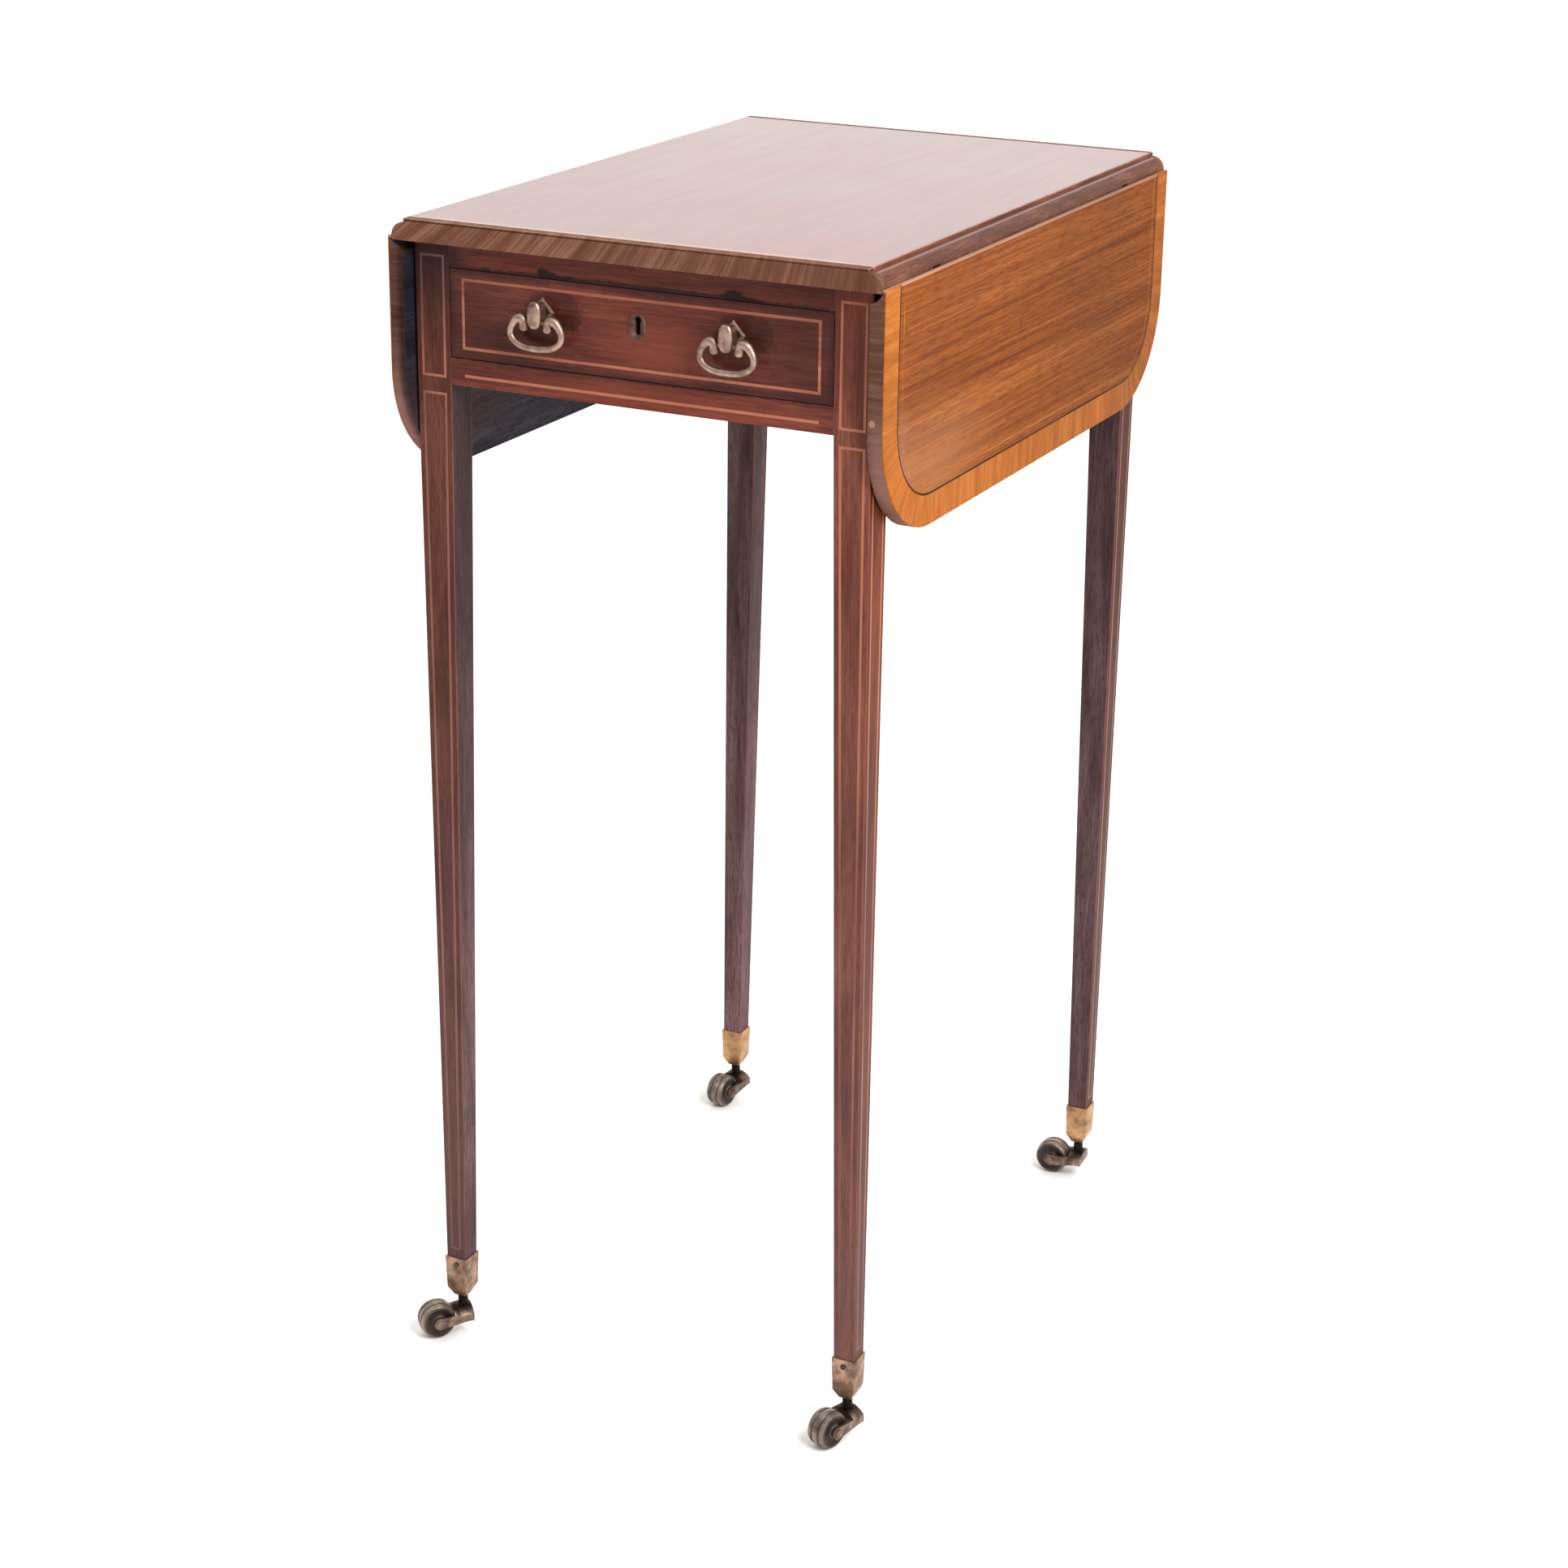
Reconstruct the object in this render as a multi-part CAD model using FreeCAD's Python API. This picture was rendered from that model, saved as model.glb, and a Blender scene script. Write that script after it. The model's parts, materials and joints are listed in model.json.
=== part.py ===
import FreeCAD, Part
import math
import os

V = FreeCAD.Vector
AXIS_X = V(1, 0, 0)
AXIS_Y = V(0, 1, 0)
AXIS_Z = V(0, 0, 1)
SIDES = {"left": -1, "right": 1}
ENDS = {"front": -1, "back": 1}

# Lengths in millimetres. X runs across the table, Y towards its back, Z up from the floor.
OVERRUN = 1.0
MATCH = 0.01
SLIDE_GAP = 0.3
PIN_GAP = 0.05

# Top with its rule-joint edges
TABLE_HEIGHT = 730.0
TOP_WIDTH = 292.0
TOP_DEPTH = 440.0
TOP_THICKNESS = 13.0
TOP_LIPPING = 6.0
AXIS_DROP = 10.6
OVOLO_RADIUS = 8.0
RULE_GAP = 0.3
TOP_STRING_INSET = 10.0
TOP_ARRIS_RADIUS = 0.8
TOP_END_ARRIS_RADIUS = 0.6

# Leaves
LEAF_THICKNESS = 10.0
LEAF_WIDTH = 145.4
LEAF_CORNER_RADIUS = 68.0
BAND_WIDTH = 18.0
VENEER = 0.8
STRING_WIDTH = 1.3
LEAF_ARRIS_RADIUS = 0.6

# Leaf hinges
HINGE_INSET = 72.0
HINGE_LENGTH = 36.0
KNUCKLE_RADIUS = 2.2
HINGE_PIN_RADIUS = 1.0
LEAF_KNUCKLE_LENGTH = 9.0
FLAP_THICKNESS = 1.5
TOP_FLAP_REACH = 28.0
LEAF_FLAP_REACH = 36.0
LEAF_FLAP_LENGTH = 30.0
HINGE_RELIEF = 0.4
HINGE_SCREW_PITCH = 11.0
HINGE_SCREW_INSET = 6.0
HINGE_SCREW_LENGTH = 7.0

# Screws
SCREW_HEAD_RADIUS = 2.6
SCREW_SHANK_RADIUS = 1.3
SCREW_SLOT_WIDTH = 0.6
SCREW_SLOT_DEPTH = 0.6
TOP_SCREW_INSET = 80.0
TOP_SCREW_BITE = 8.0

# Legs
LEG_SET_IN_X = 1.0
LEG_SET_IN_Y = 10.0
LEG_TOP_SIDE = 23.0
LEG_FOOT_SIDE = 14.0
LEG_FOOT_LEAN = 7.0
LEG_ARRIS_RADIUS = 0.8
APRON_DEPTH = 83.0
LEG_STRING_INSET = 3.4
LEG_STRING_WIDTH = 1.5
UPPER_PANEL_RISE = 3.5
UPPER_PANEL_DROP = 8.0
LOWER_PANEL_DROP = 5.5
LOWER_PANEL_RISE = 6.0

# Rails
APRON_THICKNESS = 16.0
FRONT_RAIL_DEPTH = 34.0
BOTTOM_RAIL_HEIGHT = 16.0
RAIL_STRING_RISE = 6.0
RAIL_STRING_INSET = 9.0
TOP_RAIL_HEIGHT = 14.6
TENON_LENGTH = 10.0
TENON_THICKNESS = 6.0
TENON_SET_IN = 4.0
TENON_SHOULDER = 3.0
SIDE_RAIL_SET_IN = 0.5
SIDE_RAIL_THICKNESS = 8.5
SIDE_TENON_THICKNESS = 5.0

# Fly rails and their swinging brackets
FLY_RAIL_THICKNESS = 8.5
FLY_RAIL_DEPTH = 71.0
BRACKET_LENGTH = 95.0
BRACKET_AXIS_Y = -48.0
BRACKET_HEAD_GAP = 0.6
BRACKET_END_GAP = 1.5
BRACKET_TOE_DEPTH = 26.0
BRACKET_HEEL_LENGTH = 46.0
BRACKET_HOLLOW_SET_IN = 22.0
BRACKET_HOLLOW_RISE = 16.0
FINGER_COUNT = 5
FINGER_GAP = 0.4
BRACKET_PIN_RADIUS = 1.8

# Drawer and what it runs on
DRAWER_GAP = 0.5
DRAWER_FRONT_THICKNESS = 15.0
DRAWER_SIDE_THICKNESS = 7.5
DRAWER_SIDE_DROP = 4.9
DRAWER_SIDE_LAP = 8.0
DRAWER_BACK_ROOM = 12.0
DRAWER_BACK_THICKNESS = 7.5
DRAWER_BACK_DROP = 11.9
DRAWER_BOTTOM_RISE = 5.5
DRAWER_BOTTOM_THICKNESS = 4.0
GROOVE_DEPTH = 3.0
FRONT_STRING_WIDTH = 1.7
DRAWER_STRING_INSET_X = 7.5
DRAWER_STRING_INSET_Z = 5.0
RUNNER_WIDTH = 14.0
RUNNER_THICKNESS = 7.0
KICKER_WIDTH = 14.0
STOP_LENGTH = 22.0
STOP_WIDTH = 14.0
STOP_THICKNESS = 4.5
STOP_X = 70.0

# Lock
LOCK_WIDTH = 42.0
LOCK_HEIGHT = 31.0
LOCK_THICKNESS = 7.0
KEYHOLE_DROP = 20.9
KEYHOLE_RADIUS = 1.9
KEYHOLE_SLOT_WIDTH = 2.0
KEYHOLE_SLOT_DROP = 5.0
ESCUTCHEON_WIDTH = 11.0
ESCUTCHEON_HEIGHT = 15.4
ESCUTCHEON_RIM = 1.7
ESCUTCHEON_DEPTH = 2.0
ESCUTCHEON_PROUD = 0.3
BOLT_WIDTH = 12.0
BOLT_THICKNESS = 3.4
BOLT_HEIGHT = 12.0
BOLT_RETRACT = 0.4
BOLT_MORTISE_DEPTH = 7.5

# Drop handles
HANDLE_X = 60.5
HANDLE_PIVOT_DROP = 23.4
HANDLE_STAND_OFF = 8.0
BOSS_WIDTH = 8.8
BOSS_BOTTOM = 6.0
BOSS_TOP = 13.5
BOSS_DEPTH = 12.0
BOSS_ROUNDING = 1.4
BACK_PLATE_WIDTH = 18.0
BACK_PLATE_HEIGHT = 20.4
BACK_PLATE_RISE = 0.6
BACK_PLATE_THICKNESS = 1.0
BAIL_RADIUS = 1.9
BAIL_PATH = ((7.2, -4.0), (7.2, 0.2), (8.6, 3.6), (11.8, 2.0),
             (15.0, -1.8), (16.8, -6.4), (14.2, -11.6), (7.8, -14.8))
BAIL_DROP = 15.4
BAIL_TIP_RADIUS = 2.2
BAIL_STUD_RADIUS = 1.1
BAIL_STUD_REACH = 3.0
BOSS_SCREW_RADIUS = 2.0
NUT_RADIUS = 4.5
NUT_THICKNESS = 3.0

# Castors
CUP_TOP = 56.0
CUP_BOTTOM = 27.0
CUP_CHAMFER_TOP = 33.5
CUP_PROUD = 0.8
CUP_WALL = 1.6
CUP_TAPER = 0.6
CUP_CHAMFER = 3.2
CUP_FLOOR_TOP = 35.0
CUP_PIN_RADIUS = 1.2
CUP_PIN_HEAD_RADIUS = 1.7
CUP_PIN_HEAD = 0.5
CUP_PIN_DROP = 5.0
CUP_PIN_LENGTH = 6.0
WHEEL_RADIUS = 12.0
WHEEL_WIDTH = 13.4
WHEEL_SHOULDER = 1.8
WHEEL_GROOVE_OFFSET = 2.8
WHEEL_GROOVE_RADIUS = 0.5
WHEEL_HUB_PROUD = 0.6
WHEEL_HUB_RADIUS = 4.5
CASTOR_TRAIL = 18.0
AXLE_RADIUS = 2.0
AXLE_HEAD_RADIUS = 2.8
AXLE_HEAD = 0.8
CHEEK_GAP = 0.5
CHEEK_THICKNESS = 2.2
CHEEK_END_RADIUS = 4.0
ROOT_BOTTOM = 11.0
ROOT_SHOULDER = 15.6
ROOT_TOP = 20.0
ROOT_RADIUS = 4.6
NECK_RADIUS = 3.2
PINTLE_RADIUS = 2.4
PINTLE_TOP = 34.0
NECK_GAP = 0.4
CASTOR_TURNS = {"front_left": 228.0, "front_right": 252.0, "back_left": 262.0, "back_right": 184.0}

# Levels and faces that several pieces share
TOP_UNDERSIDE = TABLE_HEIGHT - TOP_THICKNESS
HINGE_X = TOP_WIDTH / 2
HINGE_Z = TABLE_HEIGHT - AXIS_DROP
COVE_RADIUS = OVOLO_RADIUS + RULE_GAP
LEAF_OUTER_X = HINGE_X + AXIS_DROP
LEAF_INNER_X = LEAF_OUTER_X - LEAF_THICKNESS
HINGE_Y = TOP_DEPTH / 2 - HINGE_INSET
LEG_OUTER_X = HINGE_X - LEG_SET_IN_X
LEG_OUTER_Y = TOP_DEPTH / 2 - LEG_SET_IN_Y
LEG_INNER_X = LEG_OUTER_X - LEG_TOP_SIDE
LEG_INNER_Y = LEG_OUTER_Y - LEG_TOP_SIDE
FOOT_X = LEG_OUTER_X - LEG_FOOT_SIDE / 2
FOOT_Y = LEG_OUTER_Y - LEG_FOOT_LEAN - LEG_FOOT_SIDE / 2
FRONT_FACE = -LEG_OUTER_Y
APRON_BOTTOM = TOP_UNDERSIDE - APRON_DEPTH
FRONT_RAIL_TOP = APRON_BOTTOM + BOTTOM_RAIL_HEIGHT
TOP_RAIL_BOTTOM = TOP_UNDERSIDE - TOP_RAIL_HEIGHT
SIDE_RAIL_INNER_X = LEG_INNER_X + SIDE_RAIL_SET_IN
FLY_RAIL_BOTTOM = TOP_UNDERSIDE - FLY_RAIL_DEPTH
FLY_RAIL_X = SIDE_RAIL_INNER_X + SIDE_RAIL_THICKNESS
DRAWER_FLOOR = FRONT_RAIL_TOP + DRAWER_GAP
DRAWER_TOP = TOP_RAIL_BOTTOM - DRAWER_GAP
DRAWER_HALF_WIDTH = LEG_INNER_X - DRAWER_GAP
DRAWER_FRONT_BACK = FRONT_FACE + DRAWER_FRONT_THICKNESS
DRAWER_SIDE_INNER_X = DRAWER_HALF_WIDTH - DRAWER_SIDE_THICKNESS
DRAWER_BACK_Y = LEG_INNER_Y - DRAWER_BACK_ROOM
DRAWER_BOTTOM_Z = DRAWER_FLOOR + DRAWER_BOTTOM_RISE
KEYHOLE_Z = DRAWER_TOP - KEYHOLE_DROP
HANDLE_PIVOT_Z = DRAWER_TOP - HANDLE_PIVOT_DROP
RUNNER_TOP = DRAWER_FLOOR - SLIDE_GAP


def save(name, *solids):
    """Write one node, a single solid or a group of separate ones."""
    shape = solids[0] if len(solids) == 1 else Part.makeCompound(list(solids))
    shape.exportStep(os.path.join("parts", name + ".step"))


def box(x_span, y_span, z_span):
    """Box between two values on each axis, given in either order."""
    spans = [sorted(span) for span in (x_span, y_span, z_span)]
    sizes = [high - low for low, high in spans]
    return Part.makeBox(*sizes, V(*[low for low, high in spans]))


def rod(radius, length, base, axis):
    return Part.makeCylinder(radius, length, base, axis)


def face_of(points):
    return Part.Face(Part.makePolygon(list(points) + [points[0]]))


def mirrored(shape):
    """The same piece on the other side of the table."""
    return shape.mirror(V(0, 0, 0), AXIS_X)


def softened(solid, radius, wanted):
    """Solid with the straight or curved edges picked by wanted rounded off."""
    return solid.makeFillet(radius, [edge for edge in solid.Edges if wanted(edge.BoundBox)])


def meets(value, target):
    return abs(value - target) < MATCH


def cut_all(shape, tools):
    for tool in tools:
        shape = shape.cut(tool)
    return shape


def screw_hole(head_centre, axis, length):
    """Countersunk hole whose mouth lies at head_centre."""
    rise = SCREW_HEAD_RADIUS - SCREW_SHANK_RADIUS
    head = Part.makeCone(SCREW_HEAD_RADIUS, SCREW_SHANK_RADIUS, rise, head_centre, axis)
    return head.fuse(rod(SCREW_SHANK_RADIUS, length, head_centre, axis)).removeSplitter()


def screw(head_centre, axis, length):
    """Countersunk slotted wood screw that fills its hole."""
    slot = Part.makeBox(SCREW_SLOT_WIDTH, SCREW_HEAD_RADIUS * 2, SCREW_SLOT_DEPTH * 2)
    slot.translate(V(-SCREW_SLOT_WIDTH / 2, -SCREW_HEAD_RADIUS, -SCREW_SLOT_DEPTH))
    turn = FreeCAD.Placement(head_centre, FreeCAD.Rotation(AXIS_Z, axis))
    slot.Placement = turn.multiply(slot.Placement)
    return screw_hole(head_centre, axis, length).cut(slot)


# Top: a board and its two end lippings share one section with an ovolo on each long edge
def top_section(y):
    """Closed section of the top at one depth, taken around the right and left hinge axes."""
    below = TOP_THICKNESS - AXIS_DROP
    foot = math.sqrt(OVOLO_RADIUS ** 2 - below ** 2)
    turn = math.radians(45) - math.asin(below / OVOLO_RADIUS) / 2
    mid_x, mid_z = OVOLO_RADIUS * math.cos(turn), OVOLO_RADIUS * math.sin(turn)
    edges = []
    for side in (1, -1):
        x = side * HINGE_X
        arris = V(x, y, TABLE_HEIGHT - TOP_ARRIS_RADIUS)
        inward = x - side * TOP_ARRIS_RADIUS
        round_off = TOP_ARRIS_RADIUS * math.sin(math.radians(45))
        crest = V(inward + side * round_off, y, TABLE_HEIGHT - TOP_ARRIS_RADIUS + round_off)
        step = V(x, y, HINGE_Z + OVOLO_RADIUS)
        middle = V(x + side * mid_x, y, HINGE_Z + mid_z)
        under = V(x + side * foot, y, TOP_UNDERSIDE)
        edges.append(Part.Arc(V(inward, y, TABLE_HEIGHT), crest, arris).toShape())
        edges.append(Part.makeLine(arris, step))
        edges.append(Part.Arc(step, middle, under).toShape())
    corner = HINGE_X + foot
    flat = HINGE_X - TOP_ARRIS_RADIUS
    edges.append(Part.makeLine(V(flat, y, TABLE_HEIGHT), V(-flat, y, TABLE_HEIGHT)))
    edges.append(Part.makeLine(V(corner, y, TOP_UNDERSIDE), V(-corner, y, TOP_UNDERSIDE)))
    return Part.Face(Part.Wire(Part.__sortEdges__(edges)))


def top_length(y_start, y_end):
    return top_section(y_start).extrude(V(0, y_end - y_start, 0))


def end_lipping(end):
    """Cross-grain strip closing one end of the top, its outer upper arris rubbed round."""
    outer = end * TOP_DEPTH / 2
    strip = top_length(outer, outer - end * TOP_LIPPING)
    return softened(strip, TOP_END_ARRIS_RADIUS,
                    lambda b: meets(b.YMin, outer) and meets(b.YMax, outer) and meets(b.ZMin, TABLE_HEIGHT))


def top_strings():
    strings = []
    for side in SIDES.values():
        x = side * (HINGE_X - TOP_STRING_INSET)
        half = STRING_WIDTH / 2
        ends = TOP_DEPTH / 2 - TOP_LIPPING
        strings.append(box((x - half, x + half), (-ends, ends), (TABLE_HEIGHT - VENEER, TABLE_HEIGHT)))
    return strings


# Leaf hinges, drawn for the right leaf hanging down
def hinge_relief(y):
    """Room in the underside of the top for the knuckles and for the neck of the leaf flap as it turns."""
    radius = KNUCKLE_RADIUS + HINGE_RELIEF
    half = HINGE_LENGTH / 2 + HINGE_RELIEF
    neck = LEAF_KNUCKLE_LENGTH / 2 + HINGE_RELIEF
    low = TOP_UNDERSIDE - OVERRUN
    flap_top = HINGE_Z + AXIS_DROP - LEAF_THICKNESS + HINGE_RELIEF
    barrel = rod(radius, 2 * half, V(HINGE_X, y - half, HINGE_Z), AXIS_Y)
    below = box((HINGE_X - radius, HINGE_X + radius), (y - half, y + half), (low, HINGE_Z))
    sweep = box((HINGE_X, HINGE_X + COVE_RADIUS + OVERRUN), (y - neck, y + neck), (low, flap_top))
    return barrel.fuse(below).fuse(sweep)


def knuckle(y_start, y_end):
    barrel = rod(KNUCKLE_RADIUS, y_end - y_start, V(HINGE_X, y_start, HINGE_Z), AXIS_Y)
    return barrel


def hinge_bore(y, radius):
    length = HINGE_LENGTH + 2 * OVERRUN
    return rod(radius, length, V(HINGE_X, y - length / 2, HINGE_Z), AXIS_Y)


def flap_screw_rows(y):
    return [y + k * HINGE_SCREW_PITCH for k in (-1, 0, 1)]


def top_flap_screws(y):
    places = []
    for k, row in enumerate(flap_screw_rows(y)):
        inset = HINGE_SCREW_INSET if k != 1 else 2 * HINGE_SCREW_INSET
        places.append(V(HINGE_X - TOP_FLAP_REACH + inset, row, TOP_UNDERSIDE))
    return places


def leaf_flap_screws(y):
    places = []
    for k, row in enumerate(flap_screw_rows(y)):
        inset = HINGE_SCREW_INSET if k != 1 else 2 * HINGE_SCREW_INSET
        places.append(V(LEAF_INNER_X - FLAP_THICKNESS, row, HINGE_Z - LEAF_FLAP_REACH + inset))
    return places


def top_flap(y):
    """Fixed half of a hinge: a plate let into the top, two end knuckles and the pin's holes."""
    half = HINGE_LENGTH / 2
    gap = LEAF_KNUCKLE_LENGTH / 2 + SLIDE_GAP
    plate = box((HINGE_X - TOP_FLAP_REACH, HINGE_X), (y - half, y + half),
                (TOP_UNDERSIDE, TOP_UNDERSIDE + FLAP_THICKNESS))
    relief = KNUCKLE_RADIUS + HINGE_RELIEF
    clear = box((HINGE_X - relief, HINGE_X + relief), (y - gap, y + gap),
                (TOP_UNDERSIDE - OVERRUN, HINGE_Z + relief))
    flap = plate.fuse(knuckle(y - half, y - gap)).fuse(knuckle(y + gap, y + half))
    flap = flap.cut(clear).cut(hinge_bore(y, HINGE_PIN_RADIUS))
    return cut_all(flap, [screw_hole(p, AXIS_Z, HINGE_SCREW_LENGTH) for p in top_flap_screws(y)])


def hinge_pin(y):
    return rod(HINGE_PIN_RADIUS, HINGE_LENGTH, V(HINGE_X, y - HINGE_LENGTH / 2, HINGE_Z), AXIS_Y)


def leaf_flap(y):
    """Moving half of a hinge: a plate on the leaf's inner face, narrowed where it enters the top."""
    half = LEAF_KNUCKLE_LENGTH / 2
    wide = LEAF_FLAP_LENGTH / 2
    face = LEAF_INNER_X - FLAP_THICKNESS
    neck_end = HINGE_Z - COVE_RADIUS - OVERRUN
    neck = box((face, LEAF_INNER_X), (y - half, y + half), (neck_end, HINGE_Z))
    plate = box((face, LEAF_INNER_X), (y - wide, y + wide), (HINGE_Z - LEAF_FLAP_REACH, neck_end))
    flap = neck.fuse(plate).fuse(knuckle(y - half, y + half)).removeSplitter()
    flap = flap.cut(hinge_bore(y, HINGE_PIN_RADIUS + PIN_GAP))
    return cut_all(flap, [screw_hole(p, AXIS_X, HINGE_SCREW_LENGTH) for p in leaf_flap_screws(y)])


# Leaves
def leaf_outline(inset):
    """Rounded outline of a leaf in its own plane, drawn in by the same amount on three sides."""
    half = TOP_DEPTH / 2 - inset
    bottom = HINGE_Z - LEAF_WIDTH + inset
    top = HINGE_Z - RULE_GAP
    radius = LEAF_CORNER_RADIUS - inset
    slack = radius * (1 - math.sqrt(2) / 2)
    corners = [V(0, half, top), V(0, half, bottom + radius), V(0, half - slack, bottom + slack),
               V(0, half - radius, bottom), V(0, radius - half, bottom), V(0, slack - half, bottom + slack),
               V(0, -half, bottom + radius), V(0, -half, top)]
    edges = [Part.makeLine(corners[0], corners[1]), Part.Arc(*corners[1:4]).toShape(),
             Part.makeLine(corners[3], corners[4]), Part.Arc(*corners[4:7]).toShape(),
             Part.makeLine(corners[6], corners[7]), Part.makeLine(corners[7], corners[0])]
    return Part.Face(Part.Wire(edges))


def leaf_layer(inset, x_start, x_end):
    face = leaf_outline(inset)
    face.translate(V(x_start, 0, 0))
    return face.extrude(V(x_end - x_start, 0, 0))


def leaf_pieces():
    """Right leaf: board, crossbanding round three sides and the dark string inside it."""
    skin = LEAF_OUTER_X - VENEER
    cove = rod(COVE_RADIUS, TOP_DEPTH + 2 * OVERRUN, V(HINGE_X, -TOP_DEPTH / 2 - OVERRUN, HINGE_Z), AXIS_Y)
    lip = HINGE_Z - RULE_GAP
    whole = leaf_layer(0, LEAF_INNER_X, LEAF_OUTER_X)
    whole = softened(whole, LEAF_ARRIS_RADIUS, lambda b: meets(b.XMin, b.XMax) and b.ZMin < lip - MATCH)
    whole = whole.cut(cove)
    outer = whole.common(leaf_layer(0, skin, LEAF_OUTER_X))
    string_edge = leaf_layer(BAND_WIDTH, skin, LEAF_OUTER_X)
    field = leaf_layer(BAND_WIDTH + STRING_WIDTH, skin, LEAF_OUTER_X)
    band = outer.cut(string_edge)
    string = string_edge.cut(field)
    screws = [p for y in (-HINGE_Y, HINGE_Y) for p in leaf_flap_screws(y)]
    board = whole.cut(band).cut(string)
    board = cut_all(board, [screw_hole(p, AXIS_X, HINGE_SCREW_LENGTH) for p in screws])
    return board, band, string, [screw(p, AXIS_X, HINGE_SCREW_LENGTH) for p in screws]


# Legs
def leg_rectangle(side, end, level):
    """Corners of a leg at the top of its taper or at its foot, in order round the leg."""
    if level == APRON_BOTTOM:
        outer_y, size = LEG_OUTER_Y, LEG_TOP_SIDE
    else:
        outer_y, size = LEG_OUTER_Y - LEG_FOOT_LEAN, LEG_FOOT_SIDE
    xs = (side * LEG_OUTER_X, side * (LEG_OUTER_X - size))
    ys = (end * outer_y, end * (outer_y - size))
    return [V(xs[0], ys[0], level), V(xs[1], ys[0], level), V(xs[1], ys[1], level), V(xs[0], ys[1], level)]


def leg_edge(side, end, corner, z):
    """Point on one arris of a leg at height z."""
    top = leg_rectangle(side, end, APRON_BOTTOM)[corner]
    foot = leg_rectangle(side, end, CUP_TOP)[corner]
    if z >= APRON_BOTTOM:
        return V(top.x, top.y, z)
    return foot + (top - foot) * ((z - CUP_TOP) / (APRON_BOTTOM - CUP_TOP))


def leg_blank(side, end):
    post = box((side * LEG_OUTER_X, side * LEG_INNER_X), (end * LEG_OUTER_Y, end * LEG_INNER_Y),
               (APRON_BOTTOM, TOP_UNDERSIDE))
    wires = [Part.makePolygon(r + [r[0]])
             for r in (leg_rectangle(side, end, APRON_BOTTOM), leg_rectangle(side, end, CUP_TOP))]
    taper = softened(Part.makeLoft(wires, True, True), LEG_ARRIS_RADIUS, lambda b: not meets(b.ZMin, b.ZMax))
    outward = V(side * LEG_OUTER_X, end * LEG_OUTER_Y, 0)
    post = softened(post, LEG_ARRIS_RADIUS, lambda b: meets(b.XMin, outward.x) and meets(b.XMax, outward.x)
                    and meets(b.YMin, outward.y) and meets(b.YMax, outward.y))
    half = LEG_FOOT_SIDE / 2 + CUP_PROUD - CUP_WALL
    x, y = side * FOOT_X, end * FOOT_Y
    tenon = box((x - half, x + half), (y - half, y + half), (CUP_FLOOR_TOP, CUP_TOP))
    return post.fuse(taper).fuse(tenon).removeSplitter()


def leg_panel(side, end, corners, z_low, z_high):
    """String let into one face of a leg as a narrow frame that follows the taper."""
    def outline(inset):
        points = []
        for corner, other, z in ((0, 1, z_low), (1, 0, z_low), (1, 0, z_high), (0, 1, z_high)):
            level = z + inset if z == z_low else z - inset
            near = leg_edge(side, end, corners[corner], level)
            far = leg_edge(side, end, corners[other], level)
            along = (far - near).normalize()
            points.append(near + along * (LEG_STRING_INSET + inset))
        return points
    outer, inner = outline(0), outline(LEG_STRING_WIDTH)
    normal = (outer[1] - outer[0]).cross(outer[3] - outer[0]).normalize()
    if normal.dot(leg_edge(side, end, 2, z_low) - outer[0]) < 0:
        normal = normal * -1
    return face_of(outer).cut(face_of(inner)).extrude(normal * VENEER)


def leg_strings(side, end):
    """Panels on the two outward faces; the upper one only on the front, where no leaf covers it."""
    end_face, side_face = (0, 1), (0, 3)
    low, high = CUP_TOP + LOWER_PANEL_RISE, APRON_BOTTOM - LOWER_PANEL_DROP
    panels = [leg_panel(side, end, face, low, high) for face in (end_face, side_face)]
    if end < 0:
        low, high = APRON_BOTTOM + UPPER_PANEL_RISE, TOP_UNDERSIDE - UPPER_PANEL_DROP
        panels.append(leg_panel(side, end, end_face, low, high))
    return panels


# Rails
def cross_rail(end, thickness, z_low, z_high):
    """Rail between two legs at the front or back, tenoned into both."""
    outer = end * LEG_OUTER_Y
    inner = end * (LEG_OUTER_Y - thickness)
    body = box((-LEG_INNER_X, LEG_INNER_X), (outer, inner), (z_low, z_high))
    near = end * (LEG_OUTER_Y - TENON_SET_IN)
    reach = LEG_INNER_X + TENON_LENGTH
    tenon = box((-reach, reach), (near, near - end * TENON_THICKNESS),
                (z_low + TENON_SHOULDER, z_high - TENON_SHOULDER))
    return body.fuse(tenon).removeSplitter()


def side_rail():
    body = box((SIDE_RAIL_INNER_X, FLY_RAIL_X), (-LEG_INNER_Y, LEG_INNER_Y), (APRON_BOTTOM, TOP_UNDERSIDE))
    middle = SIDE_RAIL_INNER_X + SIDE_RAIL_THICKNESS / 2
    half = SIDE_TENON_THICKNESS / 2
    reach = LEG_INNER_Y + TENON_LENGTH - TENON_SHOULDER
    tenon = box((middle - half, middle + half), (-reach, reach),
                (APRON_BOTTOM + TENON_SHOULDER, TOP_UNDERSIDE - TENON_SHOULDER))
    return body.fuse(tenon).removeSplitter()


# Fly rails, drawn for the right side
BRACKET_AXIS_X = FLY_RAIL_X + FLY_RAIL_THICKNESS / 2
KNUCKLE_HALF = FLY_RAIL_THICKNESS / 2
BRACKET_TOP = TOP_UNDERSIDE - BRACKET_HEAD_GAP
BRACKET_TOE = BRACKET_AXIS_Y + BRACKET_LENGTH


def finger_zones(moving):
    """Heights of the wooden knuckle's fingers that belong to the bracket or to the fixed rail."""
    pitch = (BRACKET_TOP - FLY_RAIL_BOTTOM) / FINGER_COUNT
    first = 1 if moving else 0
    lows = [FLY_RAIL_BOTTOM + k * pitch for k in range(first, FINGER_COUNT, 2)]
    return [(low, low + pitch) for low in lows]


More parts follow.
